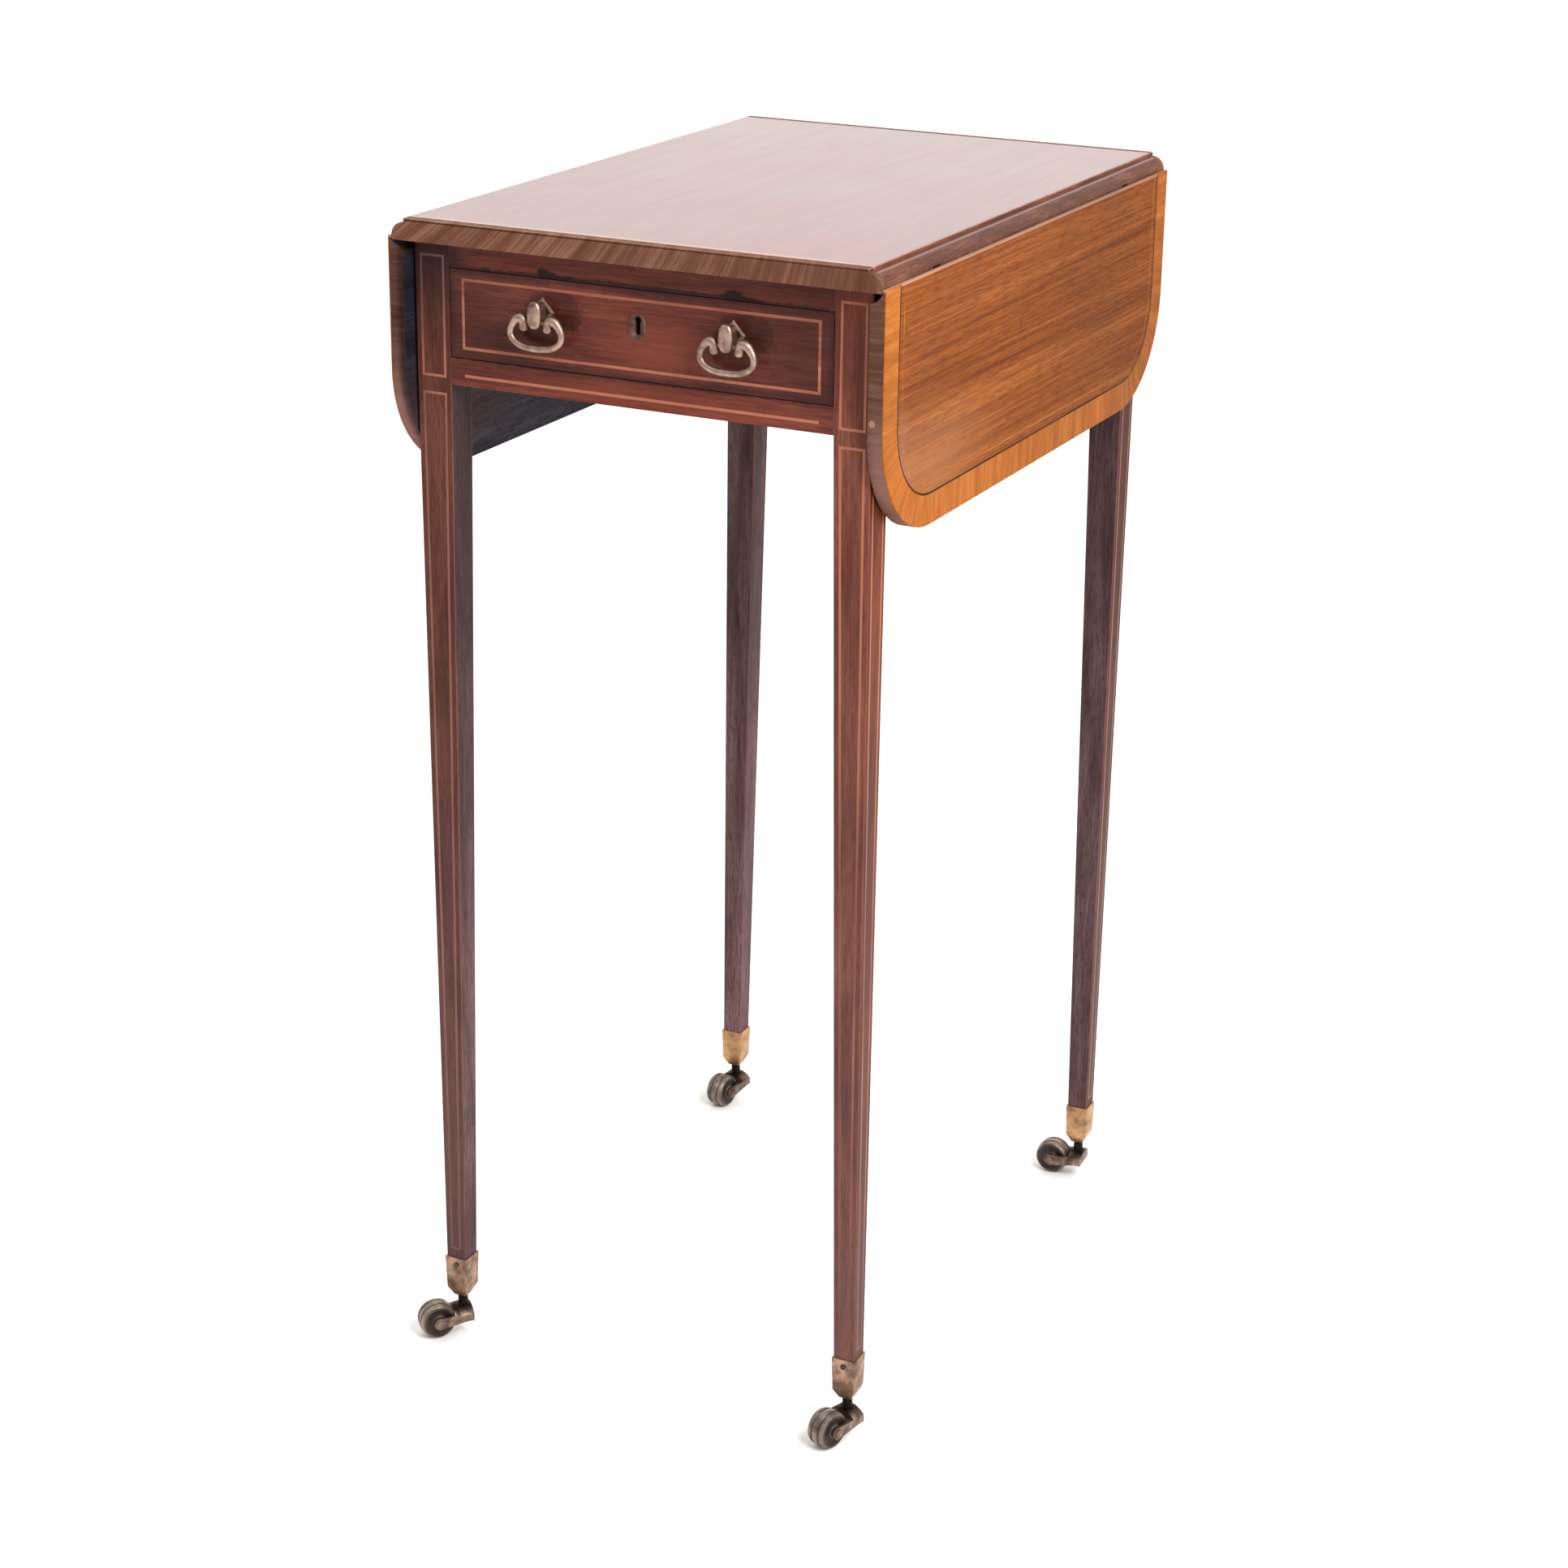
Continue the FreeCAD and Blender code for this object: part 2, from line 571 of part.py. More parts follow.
def finger_room(zones):
    """Space that fingers at these heights need in the other half."""
    radius = KNUCKLE_HALF + FINGER_GAP
    rooms = []
    for low, high in zones:
        base = V(BRACKET_AXIS_X, BRACKET_AXIS_Y, low - FINGER_GAP)
        rooms.append(rod(radius, high - low + 2 * FINGER_GAP, base, AXIS_Z))
    return rooms


def bracket_bore(radius):
    height = TOP_UNDERSIDE - FLY_RAIL_BOTTOM + 2 * OVERRUN
    return rod(radius, height, V(BRACKET_AXIS_X, BRACKET_AXIS_Y, FLY_RAIL_BOTTOM - OVERRUN), AXIS_Z)


def fly_rail():
    """Fixed rail in two lengths with the bracket's place left open between them."""
    x_span = (FLY_RAIL_X, FLY_RAIL_X + FLY_RAIL_THICKNESS)
    front = box(x_span, (-LEG_INNER_Y, BRACKET_AXIS_Y), (FLY_RAIL_BOTTOM, TOP_UNDERSIDE))
    low, high = FLY_RAIL_BOTTOM, BRACKET_TOP
    round_end = rod(KNUCKLE_HALF, high - low, V(BRACKET_AXIS_X, BRACKET_AXIS_Y, low), AXIS_Z)
    front = cut_all(front.fuse(round_end), finger_room(finger_zones(True)))
    front = front.cut(bracket_bore(BRACKET_PIN_RADIUS))
    back = box(x_span, (BRACKET_TOE + BRACKET_END_GAP, LEG_INNER_Y), (FLY_RAIL_BOTTOM, TOP_UNDERSIDE))
    return front, back


def bracket_outline(x):
    """Side view of the bracket: square at the knuckle, hollowed away under the toe."""
    toe_low = BRACKET_TOP - BRACKET_TOE_DEPTH
    heel = V(x, BRACKET_AXIS_Y, FLY_RAIL_BOTTOM)
    hollow_start = V(x, BRACKET_AXIS_Y + BRACKET_HEEL_LENGTH, FLY_RAIL_BOTTOM)
    hollow_middle = V(x, BRACKET_TOE - BRACKET_HOLLOW_SET_IN, FLY_RAIL_BOTTOM + BRACKET_HOLLOW_RISE)
    toe = V(x, BRACKET_TOE, toe_low)
    toe_top = V(x, BRACKET_TOE, BRACKET_TOP)
    heel_top = V(x, BRACKET_AXIS_Y, BRACKET_TOP)
    edges = [Part.makeLine(heel, hollow_start), Part.Arc(hollow_start, hollow_middle, toe).toShape(),
             Part.makeLine(toe, toe_top), Part.makeLine(toe_top, heel_top), Part.makeLine(heel_top, heel)]
    return Part.Face(Part.Wire(edges))


def fly_bracket():
    """Swinging bracket: a board with a hollowed toe, fingers at its knuckle and a round bore."""
    x_start = FLY_RAIL_X + SLIDE_GAP
    board = bracket_outline(x_start).extrude(V(FLY_RAIL_THICKNESS - SLIDE_GAP, 0, 0))
    axis = V(BRACKET_AXIS_X, BRACKET_AXIS_Y, FLY_RAIL_BOTTOM)
    round_end = rod(KNUCKLE_HALF - SLIDE_GAP, BRACKET_TOP - FLY_RAIL_BOTTOM, axis, AXIS_Z)
    board = cut_all(board.fuse(round_end), finger_room(finger_zones(False)))
    return board.cut(bracket_bore(BRACKET_PIN_RADIUS + PIN_GAP))


def bracket_pin():
    base = V(BRACKET_AXIS_X, BRACKET_AXIS_Y, FLY_RAIL_BOTTOM)
    return rod(BRACKET_PIN_RADIUS, TOP_UNDERSIDE - FLY_RAIL_BOTTOM, base, AXIS_Z)


# Drawer
def drawer_side():
    y_span = (DRAWER_FRONT_BACK - DRAWER_SIDE_LAP, DRAWER_BACK_Y)
    z_span = (DRAWER_FLOOR, DRAWER_TOP - DRAWER_SIDE_DROP)
    return box((DRAWER_SIDE_INNER_X, DRAWER_HALF_WIDTH), y_span, z_span)


def drawer_bottom():
    reach = DRAWER_SIDE_INNER_X + GROOVE_DEPTH
    return box((-reach, reach), (DRAWER_FRONT_BACK - GROOVE_DEPTH, DRAWER_BACK_Y),
               (DRAWER_BOTTOM_Z, DRAWER_BOTTOM_Z + DRAWER_BOTTOM_THICKNESS))


def drawer_back():
    y_span = (DRAWER_BACK_Y - DRAWER_BACK_THICKNESS, DRAWER_BACK_Y)
    z_span = (DRAWER_BOTTOM_Z + DRAWER_BOTTOM_THICKNESS, DRAWER_TOP - DRAWER_BACK_DROP)
    return box((-DRAWER_SIDE_INNER_X, DRAWER_SIDE_INNER_X), y_span, z_span)


def string_frame(x_half, z_low, z_high):
    """Rectangle of string let into the drawer front."""
    y_span = (FRONT_FACE, FRONT_FACE + VENEER)
    outer = box((-x_half, x_half), y_span, (z_low, z_high))
    inner = x_half - FRONT_STRING_WIDTH
    return outer.cut(box((-inner, inner), y_span, (z_low + FRONT_STRING_WIDTH, z_high - FRONT_STRING_WIDTH)))


def rounded_slot(width, height, y_start, y_end):
    """Upright slot with round ends around the keyhole's centre."""
    radius = width / 2
    straight = height / 2 - radius
    depth = y_end - y_start
    slot = box((-radius, radius), (y_start, y_end), (KEYHOLE_Z - straight, KEYHOLE_Z + straight))
    for z in (KEYHOLE_Z - straight, KEYHOLE_Z + straight):
        slot = slot.fuse(rod(radius, depth, V(0, y_start, z), AXIS_Y))
    return slot.removeSplitter()


def keyhole(y_start, y_end):
    half = KEYHOLE_SLOT_WIDTH / 2
    drop = box((-half, half), (y_start, y_end), (KEYHOLE_Z - KEYHOLE_SLOT_DROP, KEYHOLE_Z))
    return rod(KEYHOLE_RADIUS, y_end - y_start, V(0, y_start, KEYHOLE_Z), AXIS_Y).fuse(drop)


def key_room(y_start, y_end):
    """Opening inside the escutcheon, carried on through the wood to the lock."""
    width = ESCUTCHEON_WIDTH - 2 * ESCUTCHEON_RIM
    height = ESCUTCHEON_HEIGHT - 2 * ESCUTCHEON_RIM
    return rounded_slot(width, height, y_start, y_end)


def escutcheon():
    y_start, y_end = FRONT_FACE - ESCUTCHEON_PROUD, FRONT_FACE + ESCUTCHEON_DEPTH
    ring = rounded_slot(ESCUTCHEON_WIDTH, ESCUTCHEON_HEIGHT, y_start, y_end)
    return ring.cut(key_room(y_start, y_end))


LOCK_FRONT = DRAWER_FRONT_BACK - LOCK_THICKNESS
BOLT_MIDDLE = DRAWER_FRONT_BACK - LOCK_THICKNESS / 2


def bolt_box(z_low, z_high, gap):
    x, y = BOLT_WIDTH / 2 + gap, BOLT_THICKNESS / 2 + gap
    return box((-x, x), (BOLT_MIDDLE - y, BOLT_MIDDLE + y), (z_low, z_high))


def lock_bolt():
    return bolt_box(DRAWER_TOP - BOLT_RETRACT - BOLT_HEIGHT, DRAWER_TOP - BOLT_RETRACT, 0)


def drawer_lock():
    half = LOCK_WIDTH / 2
    case = box((-half, half), (LOCK_FRONT, DRAWER_FRONT_BACK), (DRAWER_TOP - LOCK_HEIGHT, DRAWER_TOP))
    room = bolt_box(DRAWER_TOP - BOLT_RETRACT - BOLT_HEIGHT - SLIDE_GAP, DRAWER_TOP + OVERRUN, SLIDE_GAP)
    return case.cut(room).cut(keyhole(LOCK_FRONT - OVERRUN, BOLT_MIDDLE - BOLT_THICKNESS / 2))


# Drop handles, drawn at the middle of the table and moved to each side
HANDLE_Y = FRONT_FACE - HANDLE_STAND_OFF


def handle_boss():
    """Cast upright oval on a lozenge plate, bored across for the bail and screwed through the front."""
    half_height = (BOSS_TOP + BOSS_BOTTOM) / 2
    centre = V(0, FRONT_FACE, HANDLE_PIVOT_Z + BOSS_TOP - half_height)
    oval = Part.Ellipse(centre + V(0, 0, half_height), centre + V(BOSS_WIDTH / 2, 0, 0), centre)
    leaf = Part.Face(Part.Wire(oval.toShape())).extrude(V(0, -BOSS_DEPTH, 0))
    face = FRONT_FACE - BOSS_DEPTH
    leaf = softened(leaf, BOSS_ROUNDING, lambda b: meets(b.YMax, face))
    middle = centre + V(0, 0, BACK_PLATE_RISE)
    up, across = V(0, 0, BACK_PLATE_HEIGHT / 2), V(BACK_PLATE_WIDTH / 2, 0, 0)
    lozenge = face_of([middle + up, middle + across, middle - up, middle - across])
    plate = lozenge.extrude(V(0, -BACK_PLATE_THICKNESS, 0))
    shank_length = DRAWER_FRONT_THICKNESS + NUT_THICKNESS
    shank = rod(BOSS_SCREW_RADIUS, shank_length, V(0, FRONT_FACE, HANDLE_PIVOT_Z), AXIS_Y)
    boss = leaf.fuse(plate).fuse(shank).removeSplitter()
    bore_start = V(-BOSS_WIDTH / 2 - OVERRUN, HANDLE_Y, HANDLE_PIVOT_Z)
    return boss.cut(rod(BAIL_STUD_RADIUS + PIN_GAP, BOSS_WIDTH + 2 * OVERRUN, bore_start, AXIS_X))


def handle_nut():
    corners = [V(NUT_RADIUS * math.cos(math.radians(60 * k)), DRAWER_FRONT_BACK,
                 HANDLE_PIVOT_Z + NUT_RADIUS * math.sin(math.radians(60 * k))) for k in range(6)]
    nut = face_of(corners).extrude(V(0, NUT_THICKNESS, 0))
    return nut.cut(rod(BOSS_SCREW_RADIUS, NUT_THICKNESS, V(0, DRAWER_FRONT_BACK, HANDLE_PIVOT_Z), AXIS_Y))


def handle_bail():
    """Bow with shoulders that curl in to round tips, and a stud at each side of the boss."""
    right = [V(x, HANDLE_Y, HANDLE_PIVOT_Z + z) for x, z in BAIL_PATH]
    left = [V(-p.x, p.y, p.z) for p in reversed(right)]
    path = Part.BSplineCurve()
    path.interpolate(right + [V(0, HANDLE_Y, HANDLE_PIVOT_Z - BAIL_DROP)] + left)
    start = path.tangent(path.FirstParameter)[0]
    profile = Part.Wire(Part.makeCircle(BAIL_RADIUS, right[0], start))
    bail = Part.Wire(path.toShape()).makePipeShell([profile], True, True)
    for side in SIDES.values():
        tip = V(side * right[0].x, HANDLE_Y, right[0].z)
        bail = bail.fuse(Part.makeSphere(BAIL_TIP_RADIUS, tip))
        inner = BOSS_WIDTH / 2 - BAIL_STUD_REACH
        stud_start = V(side * inner, HANDLE_Y, HANDLE_PIVOT_Z)
        bail = bail.fuse(rod(BAIL_STUD_RADIUS, right[1].x - inner, stud_start, AXIS_X * side))
    return bail.removeSplitter()


# Castors, drawn about the swivel axis with the wheel trailing along X
def square_at(half, z):
    points = [V(-half, -half, z), V(half, -half, z), V(half, half, z), V(-half, half, z)]
    return Part.makePolygon(points + [points[0]])


def castor_cup():
    """Square socket for the leg's end, chamfered in at its foot and bored for the swivel."""
    top_half = LEG_FOOT_SIDE / 2 + CUP_PROUD
    low_half = top_half - CUP_TAPER
    mouth, waist = square_at(top_half, CUP_TOP), square_at(low_half, CUP_CHAMFER_TOP)
    shell = Part.makeLoft([mouth, waist], True, True)
    foot = Part.makeLoft([waist, square_at(low_half - CUP_CHAMFER, CUP_BOTTOM)], True, True)
    hollow_half = top_half - CUP_WALL
    hollow = box((-hollow_half, hollow_half), (-hollow_half, hollow_half), (CUP_FLOOR_TOP, CUP_TOP))
    bore = rod(PINTLE_RADIUS + PIN_GAP, CUP_FLOOR_TOP - CUP_BOTTOM, V(0, 0, CUP_BOTTOM), AXIS_Z)
    return shell.fuse(foot).removeSplitter().cut(hollow).cut(bore)


def cup_pin(end):
    """Nail through the outward face of a cup into the leg."""
    face = LEG_FOOT_SIDE / 2 + CUP_PROUD
    z = CUP_TOP - CUP_PIN_DROP
    shank = rod(CUP_PIN_RADIUS, CUP_PIN_LENGTH, V(0, end * face, z), AXIS_Y * -end)
    head = rod(CUP_PIN_HEAD_RADIUS, CUP_PIN_HEAD, V(0, end * face, z), AXIS_Y * end)
    return shank.fuse(head)


CHEEK_INNER = WHEEL_WIDTH / 2 + WHEEL_HUB_PROUD + CHEEK_GAP
CHEEK_OUTER = CHEEK_INNER + CHEEK_THICKNESS


def castor_fork():
    """Horn: neck and pintle over an arched root, with a cheek on each side of the wheel."""
    neck = rod(NECK_RADIUS, CUP_BOTTOM - NECK_GAP - ROOT_TOP, V(0, 0, ROOT_TOP), AXIS_Z)
    pintle = rod(PINTLE_RADIUS, PINTLE_TOP - ROOT_TOP, V(0, 0, ROOT_TOP), AXIS_Z)
    root = rod(ROOT_RADIUS, ROOT_TOP - ROOT_BOTTOM, V(0, 0, ROOT_BOTTOM), AXIS_Z)
    feet = [V(-ROOT_RADIUS, side * CHEEK_OUTER, ROOT_BOTTOM) for side in (-1, 1)]
    shoulders = [V(p.x, p.y, ROOT_SHOULDER) for p in feet]
    edges = [Part.Arc(shoulders[0], V(-ROOT_RADIUS, 0, ROOT_TOP), shoulders[1]).toShape(),
             Part.makeLine(shoulders[1], feet[1]), Part.makeLine(feet[1], feet[0]),
             Part.makeLine(feet[0], shoulders[0])]
    arch = Part.Face(Part.Wire(edges)).extrude(V(2 * ROOT_RADIUS, 0, 0))
    fork = neck.fuse(pintle).fuse(root).fuse(arch)
    for side in SIDES.values():
        inner, outer = side * CHEEK_INNER, side * CHEEK_OUTER
        shape = [V(0, inner, ROOT_SHOULDER), V(CASTOR_TRAIL, inner, WHEEL_RADIUS + CHEEK_END_RADIUS),
                 V(CASTOR_TRAIL, inner, WHEEL_RADIUS - CHEEK_END_RADIUS), V(0, inner, ROOT_BOTTOM)]
        cheek = face_of(shape).extrude(V(0, outer - inner, 0))
        end = rod(CHEEK_END_RADIUS, CHEEK_THICKNESS, V(CASTOR_TRAIL, inner, WHEEL_RADIUS), AXIS_Y * side)
        fork = fork.fuse(cheek).fuse(end)
    bore = rod(AXLE_RADIUS, 2 * CHEEK_OUTER, V(CASTOR_TRAIL, -CHEEK_OUTER, WHEEL_RADIUS), AXIS_Y)
    return fork.removeSplitter().cut(bore)


def castor_axle():
    """Axle riveted over at both cheeks."""
    axle = rod(AXLE_RADIUS, 2 * CHEEK_OUTER, V(CASTOR_TRAIL, -CHEEK_OUTER, WHEEL_RADIUS), AXIS_Y)
    for side in SIDES.values():
        cheek = V(CASTOR_TRAIL, side * CHEEK_OUTER, WHEEL_RADIUS)
        axle = axle.fuse(rod(AXLE_HEAD_RADIUS, AXLE_HEAD, cheek, AXIS_Y * side))
    return axle


def castor_wheel():
    """Wheel with a crowned tread, two fine grooves round it and a raised hub on each side."""
    half = WHEEL_WIDTH / 2
    shoulder = WHEEL_RADIUS - WHEEL_SHOULDER
    near, far = V(shoulder, -half, 0), V(shoulder, half, 0)
    centre_near, centre_far = V(0, -half, 0), V(0, half, 0)
    tread = Part.Arc(near, V(WHEEL_RADIUS, 0, 0), far).toShape()
    edges = [Part.makeLine(centre_near, near), tread,
             Part.makeLine(far, centre_far), Part.makeLine(centre_far, centre_near)]
    wheel = Part.Face(Part.Wire(edges)).revolve(V(0, 0, 0), AXIS_Y, 360)
    crown = (half ** 2 + WHEEL_SHOULDER ** 2) / (2 * WHEEL_SHOULDER)
    for side in SIDES.values():
        offset = side * WHEEL_GROOVE_OFFSET
        surface = WHEEL_RADIUS - crown + math.sqrt(crown ** 2 - WHEEL_GROOVE_OFFSET ** 2)
        wheel = wheel.cut(Part.makeTorus(surface, WHEEL_GROOVE_RADIUS, V(0, offset, 0), AXIS_Y))
        wheel = wheel.fuse(rod(WHEEL_HUB_RADIUS, WHEEL_HUB_PROUD, V(0, side * half, 0), AXIS_Y * side))
    length = WHEEL_WIDTH + 2 * (WHEEL_HUB_PROUD + OVERRUN)
    wheel = wheel.cut(rod(AXLE_RADIUS + PIN_GAP, length, V(0, -length / 2, 0), AXIS_Y))
    wheel.translate(V(CASTOR_TRAIL, 0, WHEEL_RADIUS))
    return wheel


def placed_castor(shape, corner, side, end):
    """Turn a castor piece about its swivel and set it under its leg."""
    turned = shape.copy()
    turned.rotate(V(0, 0, 0), AXIS_Z, CASTOR_TURNS[corner])
    turned.translate(V(side * FOOT_X, end * FOOT_Y, 0))
    return turned


os.makedirs("parts", exist_ok=True)

# Top and its hinges
half_depth = TOP_DEPTH / 2
board_end = half_depth - TOP_LIPPING
hinge_rows = (-HINGE_Y, HINGE_Y)
right_reliefs = [hinge_relief(y) for y in hinge_rows]
right_flaps = [top_flap(y) for y in hinge_rows]
right_plates = [box((HINGE_X - TOP_FLAP_REACH, HINGE_X), (y - HINGE_LENGTH / 2, y + HINGE_LENGTH / 2),
                    (TOP_UNDERSIDE, TOP_UNDERSIDE + FLAP_THICKNESS)) for y in hinge_rows]
right_holes = [screw_hole(p, AXIS_Z, HINGE_SCREW_LENGTH) for y in hinge_rows for p in top_flap_screws(y)]
right_screws = [screw(p, AXIS_Z, HINGE_SCREW_LENGTH) for y in hinge_rows for p in top_flap_screws(y)]
kicker_x = SIDE_RAIL_INNER_X - KICKER_WIDTH / 2
top_screw_row = half_depth - TOP_SCREW_INSET
top_screw_heads = [V(s * kicker_x, y, TOP_RAIL_BOTTOM)
                   for s in SIDES.values() for y in (-top_screw_row, 0, top_screw_row)]
top_screw_length = TOP_UNDERSIDE - TOP_RAIL_BOTTOM + TOP_SCREW_BITE
top_screw_holes = [screw_hole(p, AXIS_Z, top_screw_length) for p in top_screw_heads]

board = top_length(-board_end, board_end)
board = cut_all(board, top_strings() + top_screw_holes)
for pocket in right_reliefs + right_plates + right_holes:
    board = board.cut(pocket).cut(mirrored(pocket))
save("top_board", board)
save("top_stringing", *top_strings())
save("top_end_lippings", *[end_lipping(end) for end in ENDS.values()])
save("top_screws", *[screw(p, AXIS_Z, top_screw_length) for p in top_screw_heads])
right_flaps += [hinge_pin(y) for y in hinge_rows]
save("hinge_top_flaps", *right_flaps, *[mirrored(s) for s in right_flaps])
save("hinge_top_screws", *right_screws, *[mirrored(s) for s in right_screws])

# Leaves
leaf_board, leaf_band, leaf_string, leaf_screws = leaf_pieces()
leaf_flaps = [leaf_flap(y) for y in hinge_rows]
leaf_nodes = {"": [leaf_board], "_crossbanding": [leaf_band], "_stringing": [leaf_string],
              "_hinge_flaps": leaf_flaps, "_hinge_screws": leaf_screws}
for suffix, solids in leaf_nodes.items():
    save("leaf_right" + suffix, *solids)
    save("leaf_left" + suffix, *[mirrored(s) for s in solids])

# Frame
front_top = cross_rail(-1, FRONT_RAIL_DEPTH, TOP_RAIL_BOTTOM, TOP_UNDERSIDE)
front_bottom = cross_rail(-1, FRONT_RAIL_DEPTH, APRON_BOTTOM, FRONT_RAIL_TOP)
back_apron = cross_rail(1, APRON_THICKNESS, APRON_BOTTOM, TOP_UNDERSIDE)
right_rail = side_rail()
rails = [front_top, front_bottom, back_apron, right_rail, mirrored(right_rail)]
string_half = LEG_INNER_X - RAIL_STRING_INSET
string_z = APRON_BOTTOM + RAIL_STRING_RISE
rail_string = box((-string_half, string_half), (FRONT_FACE, FRONT_FACE + VENEER),
                  (string_z - FRONT_STRING_WIDTH / 2, string_z + FRONT_STRING_WIDTH / 2))
frame_strings = [rail_string]
cup = castor_cup()
cup_nails = []
for end_name, end in ENDS.items():
    for side_name, side in SIDES.items():
        corner = end_name + "_" + side_name
        strings = leg_strings(side, end)
        nail = cup_pin(end)
        nail.translate(V(side * FOOT_X, end * FOOT_Y, 0))
        leg = cut_all(leg_blank(side, end), rails + strings + [nail])
        frame_strings.extend(strings)
        cup_nails.append(nail)
        standing_cup = cup.copy()
        standing_cup.translate(V(side * FOOT_X, end * FOOT_Y, 0))
        save("leg_" + corner, leg)
        save("castor_cup_" + corner, standing_cup.cut(nail))
        save("castor_fork_" + corner, placed_castor(castor_fork(), corner, side, end),
             placed_castor(castor_axle(), corner, side, end))
        save("castor_wheel_" + corner, placed_castor(castor_wheel(), corner, side, end))
save("castor_cup_pins", *cup_nails)
save("frame_stringing", *frame_strings)
mortise = bolt_box(TOP_RAIL_BOTTOM, TOP_RAIL_BOTTOM + BOLT_MORTISE_DEPTH, SLIDE_GAP)
save("front_top_rail", front_top.cut(mortise))
save("front_bottom_rail", front_bottom.cut(rail_string))
save("back_apron", back_apron)
save("side_rail_right", right_rail)
save("side_rail_left", mirrored(right_rail))
fly_lengths = fly_rail()
save("fly_rail_right", *fly_lengths)
save("fly_rail_left", *[mirrored(s) for s in fly_lengths])
save("fly_bracket_right", fly_bracket())
save("fly_bracket_left", mirrored(fly_bracket()))
save("fly_bracket_pins", bracket_pin(), mirrored(bracket_pin()))

# Runners, kickers and stops
rail_back = FRONT_FACE + FRONT_RAIL_DEPTH
runner = box((SIDE_RAIL_INNER_X - RUNNER_WIDTH, SIDE_RAIL_INNER_X), (rail_back, LEG_INNER_Y),
             (RUNNER_TOP - RUNNER_THICKNESS, RUNNER_TOP))
kicker = box((SIDE_RAIL_INNER_X - KICKER_WIDTH, SIDE_RAIL_INNER_X), (rail_back, LEG_INNER_Y),
             (TOP_RAIL_BOTTOM, TOP_UNDERSIDE))
stop_front = DRAWER_FRONT_BACK + SLIDE_GAP
stops = [box((x - STOP_LENGTH / 2, x + STOP_LENGTH / 2), (stop_front, stop_front + STOP_WIDTH),
             (FRONT_RAIL_TOP, FRONT_RAIL_TOP + STOP_THICKNESS)) for x in (-STOP_X, STOP_X)]
save("drawer_runners", runner, mirrored(runner))
save("drawer_kickers", *[cut_all(s, top_screw_holes) for s in (kicker, mirrored(kicker))])
save("drawer_stops", *stops)

# Drawer
right_side, bottom = drawer_side(), drawer_bottom()
frame = string_frame(DRAWER_HALF_WIDTH - DRAWER_STRING_INSET_X, DRAWER_FLOOR + DRAWER_STRING_INSET_Z,
                     DRAWER_TOP - DRAWER_STRING_INSET_Z)
lock_half = LOCK_WIDTH / 2
lock_pocket = box((-lock_half, lock_half), (LOCK_FRONT, DRAWER_FRONT_BACK),
                  (DRAWER_TOP - LOCK_HEIGHT, DRAWER_TOP))
boss, nut, bail = handle_boss(), handle_nut(), handle_bail()
handles = {}
for side_name, side in SIDES.items():
    for kind, shape in (("boss", boss), ("nut", nut), ("bail", bail)):
        moved = shape.copy()
        moved.translate(V(side * HANDLE_X, 0, 0))
        handles[kind, side_name] = moved
front = box((-DRAWER_HALF_WIDTH, DRAWER_HALF_WIDTH), (FRONT_FACE, DRAWER_FRONT_BACK),
            (DRAWER_FLOOR, DRAWER_TOP))
front_cuts = [right_side, mirrored(right_side), bottom, frame, lock_pocket, escutcheon(),
              key_room(FRONT_FACE - OVERRUN, LOCK_FRONT + OVERRUN)]
front = cut_all(front, front_cuts + [handles["boss", s] for s in SIDES])
save("drawer_front", front)
save("drawer_stringing", frame)
save("drawer_side_right", right_side.cut(bottom))
save("drawer_side_left", mirrored(right_side.cut(bottom)))
save("drawer_back", drawer_back())
save("drawer_bottom", bottom)
save("drawer_lock", drawer_lock())
save("lock_bolt", lock_bolt())
save("escutcheon", escutcheon())
save("handle_bosses", *[handles["boss", s] for s in SIDES])
save("handle_nuts", *[handles["nut", s] for s in SIDES])
for side_name in SIDES:
    save("handle_bail_" + side_name, handles["bail", side_name])
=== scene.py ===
"""Dresses the drop-leaf lamp table: polished veneers, line inlay, cast handles, castors and a pale studio."""

import json
import logging
import math
from dataclasses import dataclass, field, replace
from enum import Enum
from typing import Any, Iterable, Sequence

import bmesh
import bpy
from mathutils import Matrix, Vector


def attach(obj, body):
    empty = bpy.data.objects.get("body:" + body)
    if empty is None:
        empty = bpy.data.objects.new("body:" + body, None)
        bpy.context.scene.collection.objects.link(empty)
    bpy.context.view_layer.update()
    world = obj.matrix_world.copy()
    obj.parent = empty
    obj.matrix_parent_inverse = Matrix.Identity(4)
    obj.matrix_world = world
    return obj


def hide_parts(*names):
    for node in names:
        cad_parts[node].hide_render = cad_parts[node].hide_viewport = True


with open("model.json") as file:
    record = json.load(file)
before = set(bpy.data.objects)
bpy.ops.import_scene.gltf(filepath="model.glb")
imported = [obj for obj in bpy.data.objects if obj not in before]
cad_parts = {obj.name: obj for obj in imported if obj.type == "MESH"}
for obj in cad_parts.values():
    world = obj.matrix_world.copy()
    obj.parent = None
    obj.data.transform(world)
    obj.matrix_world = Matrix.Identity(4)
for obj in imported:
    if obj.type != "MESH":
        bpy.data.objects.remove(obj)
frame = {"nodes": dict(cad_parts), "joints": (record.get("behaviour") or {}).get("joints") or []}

MM = 0.001
log = logging.getLogger("lamp_table")

Pair = tuple[float, float]
Triple = tuple[float, float, float]
Point = tuple[float, float, float]
Socket = bpy.types.NodeSocket


class Side(Enum):
    """Side of the table, seen from the drawer."""

    LEFT = -1
    RIGHT = 1

    @property
    def word(self) -> str:
        """Name of the side as the solids spell it."""
        return self.name.lower()


class Grain(Enum):
    """Direction in which the timber's fibres run on a piece."""

    ACROSS_TABLE = 0
    FRONT_TO_BACK = 1
    UPRIGHT = 2


CORNERS = ("front_left", "front_right", "back_left", "back_right")

